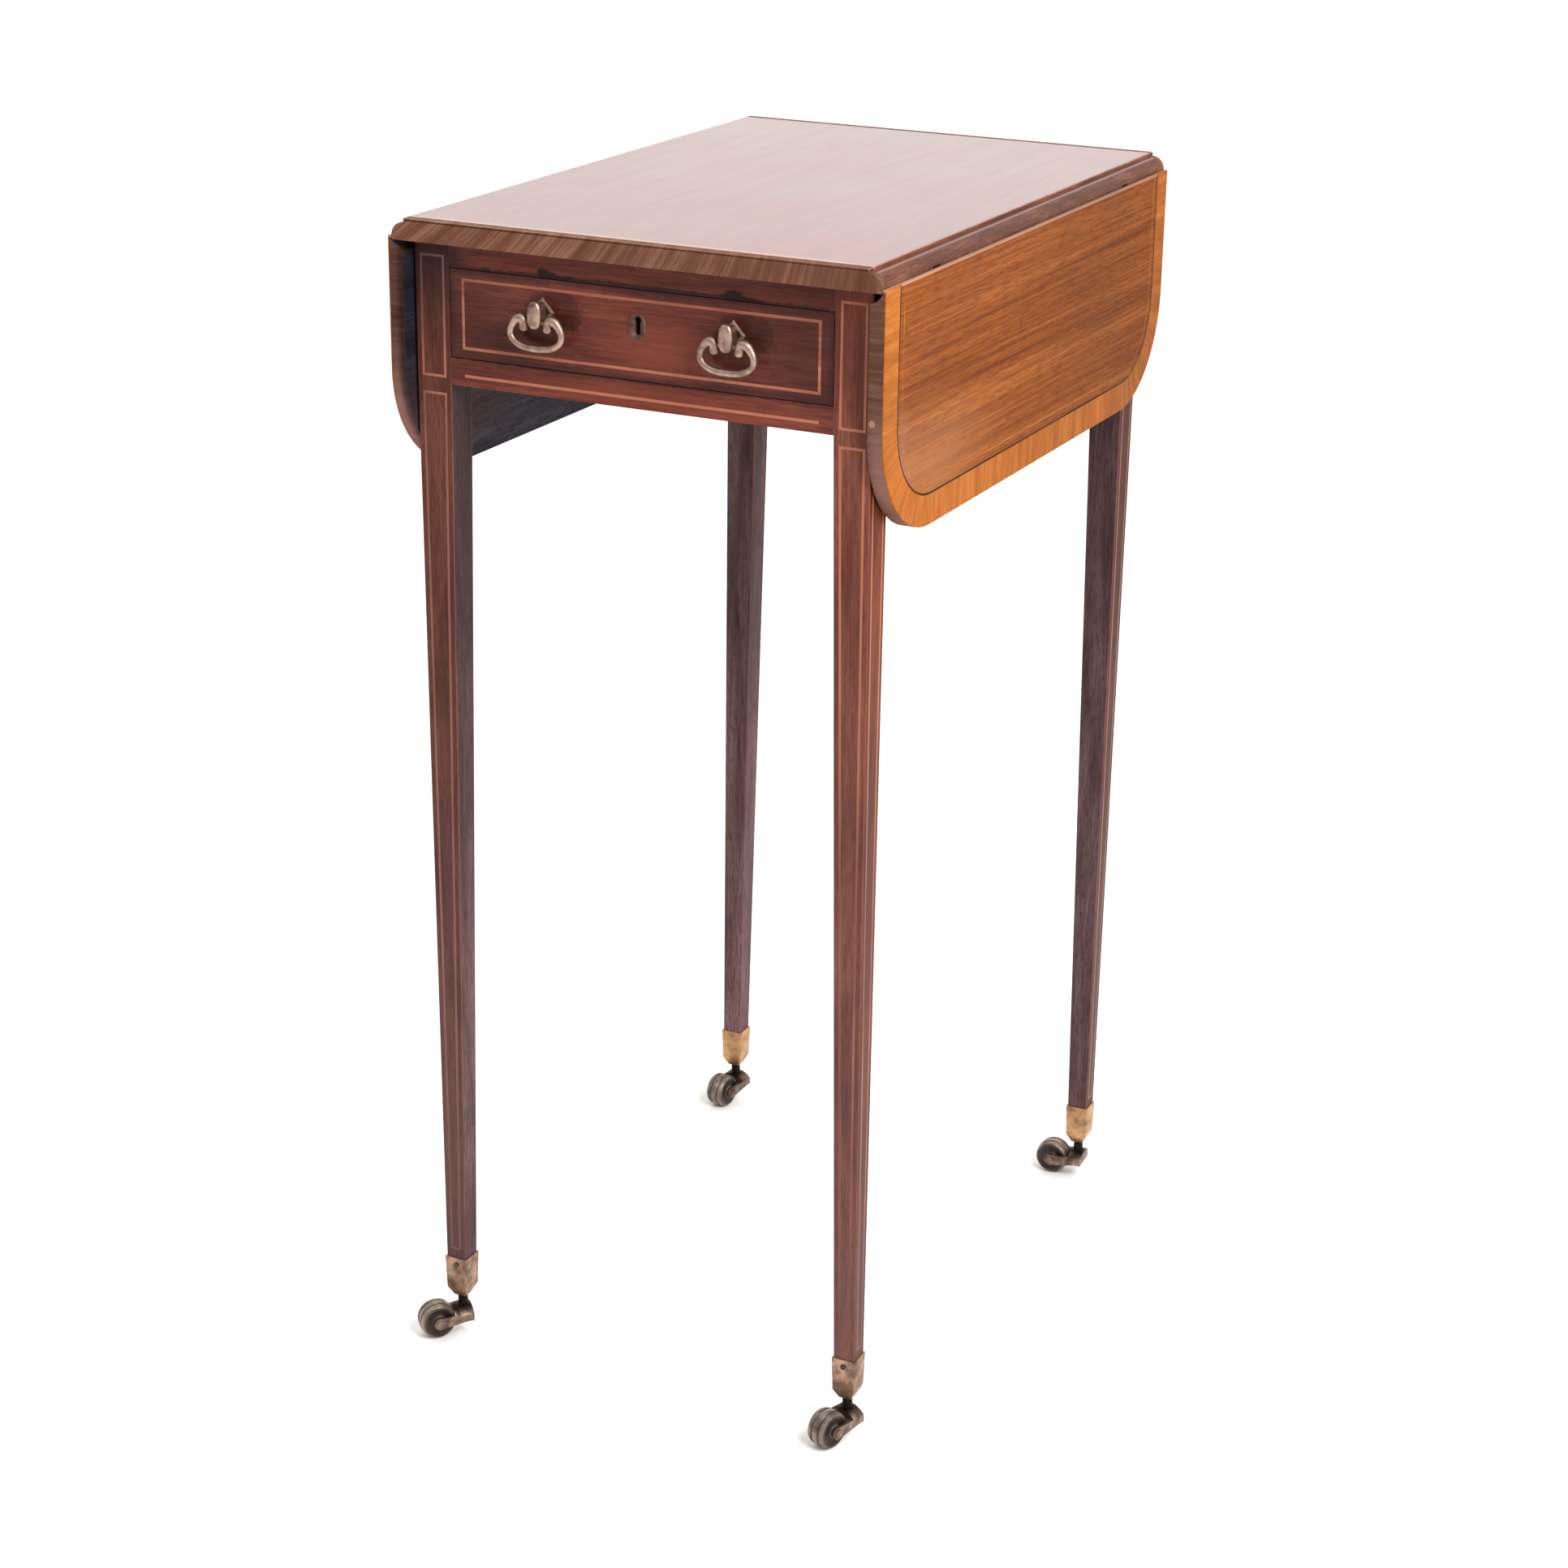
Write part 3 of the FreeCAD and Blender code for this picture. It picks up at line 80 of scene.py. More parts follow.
# How much of the fine noise shows in the figure of wood
FIGURE_ROUGHNESS = 0.55
# Values between which most of a noise texture lies
NOISE_SPAN: Pair = (0.3, 0.7)
# Upward part of the normal on a moulded edge, and on a level face
LEVEL_TURN: Pair = (0.9, 0.99)
# Largest part of the normal on a flat face, and on a rounded arris
ARRIS_TURN: Pair = (0.98, 0.8)
# Age on every wood: patches of tone and of gloss, worn places along the arrises; then half the depth of the top, over
# which painted light changes from front to back
PATINA_MM = 111.11
PATINA_TONE: Pair = (0.82, 1.12)
PATINA_GLOSS: Pair = (0.85, 1.2)
RUB_PATCH_MM = 16.667
TOP_HALF_DEPTH_MM = 220.0
PORE_RELIEF_MM = 0.2
WOOD_IOR = 1.5
# Edges of turned and pressed metal bent more than this are shaded sharp
CRISP_DEG = 50.0
# Softened castings: points this close are one, faces bent less than this are one, edges bent more than the next are
# rounded, and after that edges bent more than the last are shaded sharp
WELD_MM = 0.002
FLAT_DEG = 1.0
ROUNDED_DEG = 35.0
CAST_CRISP_DEG = 40.0


def linear(hex_colour: str) -> tuple[float, float, float, float]:
    """Turn an sRGB hex colour into linear light.

    Args:
        hex_colour: colour such as "#a0522d".

    Returns:
        Red, green, blue and a full alpha.
    """
    values = [int(hex_colour[k:k + 2], 16) / 255 for k in (1, 3, 5)]
    red, green, blue = [v / 12.92 if v <= 0.04045 else ((v + 0.055) / 1.055) ** 2.4 for v in values]
    return red, green, blue, 1.0


def add(tree: bpy.types.NodeTree, kind: str, inputs: dict[str | int, Any] | None = None,
        stops: Sequence[tuple[float, str]] = (), **settings: Any) -> bpy.types.Node:
    """Add one node with its settings, its values and its links.

    Args:
        tree: tree that takes the node.
        kind: type name of the node.
        inputs: socket name or number to a value, or to an output socket to link from.
        stops: places and hex colours of a colour ramp.
        settings: properties of the node.

    Returns:
        The new node.
    """
    node = tree.nodes.new(kind)
    for name, value in settings.items():
        setattr(node, name, value)
    for key, value in (inputs or {}).items():
        if isinstance(value, Socket):
            tree.links.new(value, node.inputs[key])
        else:
            node.inputs[key].default_value = value
    if stops:
        ramp = node.color_ramp.elements
        while len(ramp) < len(stops):
            ramp.new(1.0)
        for stop, (place, colour) in zip(ramp, stops):
            stop.position = place
            stop.color = linear(colour)
    return node


@dataclass(frozen=True)
class Stain:
    """A mark at one place on a piece: dirt, a chip, a pale plug, a lighter or darker patch, or painted light, shade or
    shadow.
    """

    centre_mm: Point
    radii_mm: Point
    colour: str
    strength: float = 0.8
    # How far the outline is broken up, the size of the breaks, and the share of the reach over which it fades out
    ragged: float = 0.25
    fringe_mm: float = 6.0
    soft: float = 0.3

    @classmethod
    def haze(cls, centre_mm: Point, radii_mm: Point, colour: str, strength: float, fringe_mm: float = 40.0,
             soft: float = 0.9) -> "Stain":
        """Make a broad mark with a smooth outline.

        Args:
            centre_mm: middle of the mark.
            radii_mm: its reach on each axis.
            colour: its colour.
            strength: how far it covers what is under it.
            fringe_mm: size of the waves in its outline.
            soft: share of its reach over which it fades out.

        Returns:
            The mark.
        """
        return cls(centre_mm, radii_mm, colour, strength, ragged=0.1, fringe_mm=fringe_mm, soft=soft)

    def over(self, tree: bpy.types.NodeTree, coords: Socket, colour: Socket) -> Socket:
        """Lay the mark over a colour.

        Args:
            tree: material's tree.
            coords: object coordinates.
            colour: colour under the mark.

        Returns:
            Colour with the mark on it.
        """
        moved = add(tree, "ShaderNodeVectorMath", {0: coords, 1: [v * MM for v in self.centre_mm]},
                    operation="SUBTRACT")
        scaled = add(tree, "ShaderNodeVectorMath", {0: moved.outputs[0], 1: [r * MM for r in self.radii_mm]},
                     operation="DIVIDE")
        reach = add(tree, "ShaderNodeVectorMath", {0: scaled.outputs[0]}, operation="LENGTH")
        rough = add(tree, "ShaderNodeTexNoise", {"Vector": coords, "Scale": 1 / (self.fringe_mm * MM), "Detail": 3.0})
        edge = add(tree, "ShaderNodeMath", {0: rough.outputs["Fac"], 1: self.ragged * 2, 2: reach.outputs["Value"]},
                   operation="MULTIPLY_ADD")
        mask = add(tree, "ShaderNodeMapRange", {"Value": edge.outputs[0], "From Min": 1.0 - self.soft + self.ragged,
                                                "From Max": 1.0 + self.ragged, "To Min": self.strength,
                                                "To Max": 0.0}, interpolation_type="SMOOTHSTEP")
        laid = add(tree, "ShaderNodeMix", {0: mask.outputs[0], 6: colour, 7: linear(self.colour)}, data_type="RGBA")
        return laid.outputs[2]


@dataclass(frozen=True)
class Crevice:
    """Old polish and dirt gathered along the edges of an upright panel, with painted shade where they meet the gaps
    round it.
    """

    centre_mm: Pair
    half_mm: Pair
    width_mm: float
    colour: str
    strength: float = 0.7
    fringe_mm: float = 11.11

    def over(self, tree: bpy.types.NodeTree, coords: Socket, colour: Socket) -> Socket:
        """Darken a colour towards the panel's edges.

        Args:
            tree: material's tree.
            coords: object coordinates.
            colour: colour of the panel.

        Returns:
            Colour with dark edges.
        """
        place = add(tree, "ShaderNodeSeparateXYZ", {0: coords})
        gaps = []
        for axis, middle, half in zip((0, 2), self.centre_mm, self.half_mm):
            off = add(tree, "ShaderNodeMath", {0: place.outputs[axis], 1: middle * MM}, operation="SUBTRACT")
            away = add(tree, "ShaderNodeMath", {0: off.outputs[0]}, operation="ABSOLUTE")
            gaps.append(add(tree, "ShaderNodeMath", {0: half * MM, 1: away.outputs[0]}, operation="SUBTRACT"))
        nearest = add(tree, "ShaderNodeMath", {0: gaps[0].outputs[0], 1: gaps[1].outputs[0]}, operation="MINIMUM")
        rough = add(tree, "ShaderNodeTexNoise", {"Vector": coords, "Scale": 1 / (self.fringe_mm * MM), "Detail": 3.0})
        # Noise averages a half, so the gap it is added to is read from half a width to one and a half
        edge = add(tree, "ShaderNodeMath", {0: rough.outputs["Fac"], 1: self.width_mm * MM, 2: nearest.outputs[0]},
                   operation="MULTIPLY_ADD")
        mask = add(tree, "ShaderNodeMapRange", {"Value": edge.outputs[0], "From Min": 0.5 * self.width_mm * MM,
                                                "From Max": 1.5 * self.width_mm * MM, "To Min": self.strength,
                                                "To Max": 0.0}, interpolation_type="SMOOTHSTEP")
        laid = add(tree, "ShaderNodeMix", {0: mask.outputs[0], 6: colour, 7: linear(self.colour)}, data_type="RGBA")
        return laid.outputs[2]


@dataclass(frozen=True)
class Timber:
    """A kind of wood with its figure: slow bands of colour, fine streaks and dark open pores along the grain."""

    dark: str
    body: str
    light: str
    grain: Grain
    band_mm: float = 14.0
    streak_mm: float = 1.6
    # Real pores are 0.1 to 0.3 mm wide, too fine to show in the render, so they are drawn coarser
    pore_mm: float = 0.7
    # How many times longer than wide: streaks, pores, and bands as a share of the streaks
    length_ratio: float = 22.0
    pore_ratio: float = 11.0
    band_ratio_share: float = 1 / 3
    wander: float = 0.6
    streak_wander: float = 0.2
    pore_depth: float = 0.55
    pore_edge: Pair = (0.36, 0.5)
    band_share: float = 1.0
    streak_share: float = 0.55
    spread: float = 0.22

    def stretch(self, width_mm: float, ratio: float) -> Point:
        """Pattern repeats per metre on each axis.

        Args:
            width_mm: size of a feature across the grain.
            ratio: how many times longer it is along the grain.

        Returns:
            Scale for the three axes.
        """
        across = 1 / (width_mm * MM)
        return tuple(across / ratio if axis == self.grain.value else across for axis in range(3))

    def layers(self, tree: bpy.types.NodeTree, coords: Socket) -> tuple[Socket, Socket]:
        """Draw the figure.

        Args:
            tree: material's tree.
            coords: coordinates in metres.

        Returns:
            Colour of the wood, and a height that dips at the pores.
        """
        noises = []
        for width, ratio, detail, bend in (
                (self.band_mm, self.length_ratio * self.band_ratio_share, 4.0, self.wander),
                (self.streak_mm, self.length_ratio, 3.0, self.streak_wander),
                (self.pore_mm, self.pore_ratio, 1.0, 0.0)):
            drawn = add(tree, "ShaderNodeVectorMath", {0: coords, 1: self.stretch(width, ratio)},
                        operation="MULTIPLY")
            noises.append(add(tree, "ShaderNodeTexNoise", {"Vector": drawn.outputs[0], "Scale": 1.0, "Detail": detail,
                                                           "Roughness": FIGURE_ROUGHNESS, "Distortion": bend}))
        band, streak, pore = noises
        slow = add(tree, "ShaderNodeMath", {0: band.outputs["Fac"], 1: self.band_share}, operation="MULTIPLY")
        figure = add(tree, "ShaderNodeMath", {0: streak.outputs["Fac"], 1: self.streak_share, 2: slow.outputs[0]},
                     operation="MULTIPLY_ADD")
        mean = (self.band_share + self.streak_share) / 2
        ramp = add(tree, "ShaderNodeValToRGB", {"Fac": figure.outputs[0]},
                   stops=((mean - self.spread, self.dark), (mean, self.body), (mean + self.spread, self.light)))
        height = add(tree, "ShaderNodeMapRange", {"Value": pore.outputs["Fac"], "From Min": self.pore_edge[0],
                                                  "From Max": self.pore_edge[1]}, interpolation_type="SMOOTHSTEP")
        shade = add(tree, "ShaderNodeMapRange", {"Value": height.outputs[0], "To Min": self.pore_depth, "To Max": 0.0})
        colour = add(tree, "ShaderNodeMix", {0: shade.outputs[0], 6: ramp.outputs["Color"], 7: linear(self.dark)},
                     data_type="RGBA")
        return colour.outputs[2], height.outputs[0]


@dataclass(frozen=True)
class Polish:
    """French polish or bare wood: how smooth and how thick the film over the timber is."""

    roughness: float
    film: float
    film_roughness: float = 0.08
    film_ior: float = 1.5
    specular: float = 0.35
    relief: float = 0.12


# Shellac rubbed to a mirror on the top, a dulled film on the frame, wax on the rest
MIRROR = Polish(roughness=0.4, film=1.0, film_roughness=0.09, specular=0.08, relief=0.008)
GLOSS = Polish(roughness=0.38, film=0.12, film_roughness=0.16, specular=0.08, relief=0.1)
SATIN = Polish(roughness=0.42, film=0.03, film_roughness=0.2, specular=0.05, relief=0.12)
WAXED = Polish(roughness=0.46, film=0.02, film_roughness=0.3, specular=0.02, relief=0.16)
BARE = Polish(roughness=0.72, film=0.0, specular=0.06, relief=0.3)


@dataclass(frozen=True)
class WoodFinish:
    """A finished wood: timber, polish, rubbed arrises, marks with painted light and shade among them, and painted
    light that changes from front to back.
    """

    name: str
    timber: Timber
    polish: Polish
    rubbed: str = ""
    rub_above_mm: float = 0.0
    stains: tuple[Stain | Crevice, ...] = ()
    fade: Pair = (1.0, 1.0)

    def rub(self, tree: bpy.types.NodeTree, coords: bpy.types.Node, colour: Socket) -> Socket:
        """Lighten the rounded arrises, where handling has thinned the polish.

        Args:
            tree: material's tree.
            coords: texture coordinate node.
            colour: colour of the wood.

        Returns:
            Colour with rubbed arrises.
        """
        turned = add(tree, "ShaderNodeVectorMath", {0: coords.outputs["Normal"]}, operation="ABSOLUTE")
        axes = add(tree, "ShaderNodeSeparateXYZ", {0: turned.outputs[0]})
        wide = add(tree, "ShaderNodeMath", {0: axes.outputs[0], 1: axes.outputs[1]}, operation="MAXIMUM")
        widest = add(tree, "ShaderNodeMath", {0: wide.outputs[0], 1: axes.outputs[2]}, operation="MAXIMUM")
        arris = add(tree, "ShaderNodeMapRange", {"Value": widest.outputs[0], "From Min": ARRIS_TURN[0],
                                                 "From Max": ARRIS_TURN[1]})
        patchy = add(tree, "ShaderNodeTexNoise", {"Vector": coords.outputs["Object"],
                                                  "Scale": 1 / (RUB_PATCH_MM * MM), "Detail": 3.0})
        amount = add(tree, "ShaderNodeMath", {0: arris.outputs[0], 1: patchy.outputs["Fac"]}, operation="MULTIPLY")
        place = add(tree, "ShaderNodeSeparateXYZ", {0: coords.outputs["Object"]})
        above = add(tree, "ShaderNodeMath", {0: place.outputs[2], 1: self.rub_above_mm * MM}, operation="GREATER_THAN")
        kept = add(tree, "ShaderNodeMath", {0: amount.outputs[0], 1: above.outputs[0]}, operation="MULTIPLY")
        worn = add(tree, "ShaderNodeMix", {0: kept.outputs[0], 6: colour, 7: linear(self.rubbed)}, data_type="RGBA")
        return worn.outputs[2]

    def colour(self, tree: bpy.types.NodeTree, coords: bpy.types.Node) -> tuple[Socket, Socket]:
        """Colour and pore height of the bare figure.

        Args:
            tree: material's tree.
            coords: texture coordinate node.

        Returns:
            Colour and height.
        """
        return self.timber.layers(tree, coords.outputs["Object"])

    def film(self, tree: bpy.types.NodeTree, coords: bpy.types.Node) -> Socket | float:
        """Thickness of the polish film, the same all over."""
        return self.polish.film

    def material(self) -> bpy.types.Material:
        """Build the material.

        Returns:
            Material named for the wood and its finish.
        """
        made = bpy.data.materials.new(self.name)
        made.use_nodes = True
        tree = made.node_tree
        tree.nodes.clear()
        coords = add(tree, "ShaderNodeTexCoord")
        colour, height = self.colour(tree, coords)
        patina = add(tree, "ShaderNodeTexNoise", {"Vector": coords.outputs["Object"], "Scale": 1 / (PATINA_MM * MM),
                                                  "Detail": 4.0})
        low, high = NOISE_SPAN
        tone = add(tree, "ShaderNodeMapRange", {"Value": patina.outputs["Fac"], "From Min": low, "From Max": high,
                                                "To Min": PATINA_TONE[0], "To Max": PATINA_TONE[1]})
        # Painted light that changes from the front of the table to the back
        if self.fade != (1.0, 1.0):
            place = add(tree, "ShaderNodeSeparateXYZ", {0: coords.outputs["Object"]})
            falloff = add(tree, "ShaderNodeMapRange", {
                "Value": place.outputs[1], "From Min": -TOP_HALF_DEPTH_MM * MM, "From Max": TOP_HALF_DEPTH_MM * MM,
                "To Min": self.fade[0], "To Max": self.fade[1]})
            tone = add(tree, "ShaderNodeMath", {0: tone.outputs[0], 1: falloff.outputs[0]}, operation="MULTIPLY")
        aged = add(tree, "ShaderNodeVectorMath", {0: colour, "Scale": tone.outputs[0]}, operation="SCALE")
        colour = aged.outputs[0]
        if self.rubbed:
            colour = self.rub(tree, coords, colour)
        for stain_and_light in self.stains:
            colour = stain_and_light.over(tree, coords.outputs["Object"], colour)
        gloss = add(tree, "ShaderNodeMapRange", {"Value": patina.outputs["Fac"], "From Min": low, "From Max": high,
                                                 "To Min": self.polish.roughness * PATINA_GLOSS[0],
                                                 "To Max": self.polish.roughness * PATINA_GLOSS[1]})
        bump = add(tree, "ShaderNodeBump", {"Strength": self.polish.relief, "Distance": PORE_RELIEF_MM * MM,
                                            "Height": height})
        shader = add(tree, "ShaderNodeBsdfPrincipled", {
            "Base Color": colour, "Roughness": gloss.outputs[0], "Normal": bump.outputs[0], "IOR": WOOD_IOR,
            "Specular IOR Level": self.polish.specular, "Coat Weight": self.film(tree, coords),
            "Coat Roughness": self.polish.film_roughness, "Coat IOR": self.polish.film_ior})
        add(tree, "ShaderNodeOutputMaterial", {"Surface": shader.outputs[0]})
        return made


@dataclass(frozen=True)
class TopFinish(WoodFinish):
    """Polished top: the thick film lies on the flat and has worn thin on the darker moulded edges."""

    moulding: Timber = field(kw_only=True)
    edge_film: float = 0.03
    worn_film: float = 0.95
    # Strokes of the polisher's rubber: width, how many times longer, and the noise values of worn and full film
    stroke_mm: float = 9.0
    stroke_ratio: float = 14.0
    stroke_span: Pair = (0.3, 0.6)

    def colour(self, tree: bpy.types.NodeTree, coords: bpy.types.Node) -> tuple[Socket, Socket]:
        """Colour and pore height, darker on the mouldings.

        Args:
            tree: material's tree.
            coords: texture coordinate node.

        Returns:
            Colour and height.
        """
        flat, height = self.timber.layers(tree, coords.outputs["Object"])
        edge, _ = self.moulding.layers(tree, coords.outputs["Object"])
        slope = add(tree, "ShaderNodeSeparateXYZ", {0: coords.outputs["Normal"]})
        level = add(tree, "ShaderNodeMapRange", {"Value": slope.outputs[2], "From Min": LEVEL_TURN[0],
                                                 "From Max": LEVEL_TURN[1]})
        both = add(tree, "ShaderNodeMix", {0: level.outputs[0], 6: edge, 7: flat}, data_type="RGBA")
        return both.outputs[2], height

    def film(self, tree: bpy.types.NodeTree, coords: bpy.types.Node) -> Socket | float:
        """Thickness of the polish film, full on the level face.

        Args:
            tree: material's tree.
            coords: texture coordinate node.

        Returns:
            Film weight from the slope of the surface and the strokes of the rubber.
        """
        slope = add(tree, "ShaderNodeSeparateXYZ", {0: coords.outputs["Normal"]})
        stretch = self.timber.stretch(self.stroke_mm, self.stroke_ratio)
        rubbing = add(tree, "ShaderNodeVectorMath", {0: coords.outputs["Object"], 1: stretch}, operation="MULTIPLY")
        strokes = add(tree, "ShaderNodeTexNoise", {"Vector": rubbing.outputs[0], "Scale": 1.0, "Detail": 5.0})
        full = add(tree, "ShaderNodeMapRange", {
            "Value": strokes.outputs["Fac"], "From Min": self.stroke_span[0], "From Max": self.stroke_span[1],
            "To Min": self.worn_film, "To Max": self.polish.film})
        level = add(tree, "ShaderNodeMapRange", {"Value": slope.outputs[2], "From Min": LEVEL_TURN[0],
                                                 "From Max": LEVEL_TURN[1], "To Min": self.edge_film,
                                                 "To Max": full.outputs[0]})
        return level.outputs[0]


@dataclass(frozen=True)
class LegFinish(WoodFinish):
    """Leg: polished on the two faces that show, dark and unpolished on the two that face inwards, that darkness partly
    painted shade.
    """

    hidden: Timber = field(kw_only=True)
    # Lighter or darker for this leg, partly painted light and shade: on the faces that show, then on those that look
    # inwards
    tone: float = 1.0
    hidden_tone: float = 1.0
    # Painted shade that darkens and warms the faces turned to the sides
    flank: str = "#d4b78b"
    # Grey that thickens down the leg, and painted shade that darkens the hidden faces towards the top
    bloom: str = "#5a5054"
    bloom_share: float = 0.35
    bloom_mm: Pair = (560.0, 120.0)
    soot: float = 0.42
    soot_mm: Pair = (250.0, 620.0)
    # Place times normal, on a face that shows and on one that looks inwards
    inward_mm: Pair = (-20.0, -90.0)

    def colour(self, tree: bpy.types.NodeTree, coords: bpy.types.Node) -> tuple[Socket, Socket]:
        """Colour and pore height of the face that each point lies on.

        Args:
            tree: material's tree.
            coords: texture coordinate node.

        Returns:
            Colour and height.
        """
        spot = coords.outputs["Object"]
        shown, height = self.timber.layers(tree, spot)
        hidden, _ = self.hidden.layers(tree, spot)
        place = add(tree, "ShaderNodeSeparateXYZ", {0: spot})
        # Painted shade on the hidden faces, deeper towards the top
        soot = add(tree, "ShaderNodeMapRange", {
            "Value": place.outputs[2], "From Min": self.soot_mm[0] * MM, "From Max": self.soot_mm[1] * MM,
            "To Min": self.hidden_tone, "To Max": self.hidden_tone * self.soot})
        darker = add(tree, "ShaderNodeVectorMath", {0: hidden, "Scale": soot.outputs[0]}, operation="SCALE")
        turned = add(tree, "ShaderNodeVectorMath", {0: coords.outputs["Normal"]}, operation="ABSOLUTE")
        sides = add(tree, "ShaderNodeSeparateXYZ", {0: turned.outputs[0]})
        faded = add(tree, "ShaderNodeVectorMath", {0: shown, "Scale": self.tone}, operation="SCALE")
        # Painted shade on the faces turned to the sides
        warmed = add(tree, "ShaderNodeMix", {0: sides.outputs[0], 6: faded.outputs[0], 7: linear(self.flank)},
                     data_type="RGBA", blend_type="MULTIPLY")
        low = add(tree, "ShaderNodeMapRange", {
            "Value": place.outputs[2], "From Min": self.bloom_mm[0] * MM, "From Max": self.bloom_mm[1] * MM,
            "To Max": self.bloom_share})
        greyed = add(tree, "ShaderNodeMix", {0: low.outputs[0], 6: warmed.outputs[2], 7: linear(self.bloom)},
                    data_type="RGBA")
        facing = add(tree, "ShaderNodeVectorMath", {0: spot, 1: coords.outputs["Normal"]}, operation="MULTIPLY")
        axes = add(tree, "ShaderNodeSeparateXYZ", {0: facing.outputs[0]})
        least = add(tree, "ShaderNodeMath", {0: axes.outputs[0], 1: axes.outputs[1]}, operation="MINIMUM")
        inward = add(tree, "ShaderNodeMapRange", {"Value": least.outputs[0], "From Min": self.inward_mm[0] * MM,
                                                  "From Max": self.inward_mm[1] * MM})
        both = add(tree, "ShaderNodeMix", {0: inward.outputs[0], 6: greyed.outputs[2], 7: darker.outputs[0]},
                   data_type="RGBA")
        return both.outputs[2], height


@dataclass(frozen=True)
class LippingFinish(WoodFinish):
    """Cross-grain strip on the ends of the top: streaks lean over towards the left, under a dark line along its top.
    """

    lean: float = 0.7
    lean_change: float = 4.0
    middle_mm: float = 723.5
    glue_line_mm: Pair = (728.3, 729.1)
    glue: str = "#1c0d09"
    glue_share: float = 0.75

    def colour(self, tree: bpy.types.NodeTree, coords: bpy.types.Node) -> tuple[Socket, Socket]:
        """Colour and pore height with the grain leaning.

        Args:
            tree: material's tree.
            coords: texture coordinate node.

        Returns:
            Colour and height.
        """
        place = add(tree, "ShaderNodeSeparateXYZ", {0: coords.outputs["Object"]})
        lean = add(tree, "ShaderNodeMath", {0: place.outputs[0], 1: -self.lean_change, 2: self.lean},
                   operation="MULTIPLY_ADD")
        level = add(tree, "ShaderNodeMath", {0: place.outputs[2], 1: self.middle_mm * MM}, operation="SUBTRACT")
        shift = add(tree, "ShaderNodeMath", {0: level.outputs[0], 1: lean.outputs[0]}, operation="MULTIPLY")
        moved = add(tree, "ShaderNodeMath", {0: place.outputs[0], 1: shift.outputs[0]}, operation="SUBTRACT")
        leaning = add(tree, "ShaderNodeCombineXYZ", {0: moved.outputs[0], 1: place.outputs[1], 2: place.outputs[2]})
        colour, height = self.timber.layers(tree, leaning.outputs[0])
        low, high = [v * MM for v in self.glue_line_mm]
        line = add(tree, "ShaderNodeMath", {0: place.outputs[2], 1: (low + high) / 2, 2: (high - low) / 2},
                   operation="COMPARE")
        thin = add(tree, "ShaderNodeMath", {0: line.outputs[0], 1: self.glue_share}, operation="MULTIPLY")
        lined = add(tree, "ShaderNodeMix", {0: thin.outputs[0], 6: colour, 7: linear(self.glue)}, data_type="RGBA")
        return lined.outputs[2], height


@dataclass(frozen=True)
class LeafFinish(WoodFinish):
    """Leaf board: straight veneer outside, cross-grain edges, plain stained wood inside whose dark blue-grey is partly
    painted shade, and a rubbed lip on top.
    """

    side: Side = field(kw_only=True)
    edge: Timber = field(kw_only=True)
    inside: Timber = field(kw_only=True)
    # Outward part of the normal where the face begins and is whole, and the same for the back
    face_turn: Pair = (0.85, 0.95)
    back_turn: Pair = (-0.6, -0.8)
    lip_level_mm: float = 718.1
    lip: str = "#b98f78"
    lip_share: float = 0.55

    def colour(self, tree: bpy.types.NodeTree, coords: bpy.types.Node) -> tuple[Socket, Socket]:
        """Colour and pore height of the face that each point lies on.

        Args:
            tree: material's tree.
            coords: texture coordinate node.

        Returns:
            Colour and height.
        """
        spot = coords.outputs["Object"]
        face, height = self.timber.layers(tree, spot)
        edge, _ = self.edge.layers(tree, spot)
        inside, _ = self.inside.layers(tree, spot)
        turned = add(tree, "ShaderNodeSeparateXYZ", {0: coords.outputs["Normal"]})
        outward = add(tree, "ShaderNodeMath", {0: turned.outputs[0], 1: float(self.side.value)}, operation="MULTIPLY")
        on_face, on_back = [add(tree, "ShaderNodeMapRange", {"Value": outward.outputs[0], "From Min": start,
                                                             "From Max": whole})
                            for start, whole in (self.face_turn, self.back_turn)]
        first = add(tree, "ShaderNodeMix", {0: on_face.outputs[0], 6: edge, 7: face}, data_type="RGBA")
        both = add(tree, "ShaderNodeMix", {0: on_back.outputs[0], 6: first.outputs[2], 7: inside}, data_type="RGBA")
        place = add(tree, "ShaderNodeSeparateXYZ", {0: spot})
        lip = add(tree, "ShaderNodeMath", {0: place.outputs[2], 1: self.lip_level_mm * MM}, operation="GREATER_THAN")
        rubbed = add(tree, "ShaderNodeMath", {0: lip.outputs[0], 1: self.lip_share}, operation="MULTIPLY")
        bright = add(tree, "ShaderNodeMix", {0: rubbed.outputs[0], 6: both.outputs[2], 7: linear(self.lip)},
                     data_type="RGBA")
        return bright.outputs[2], height


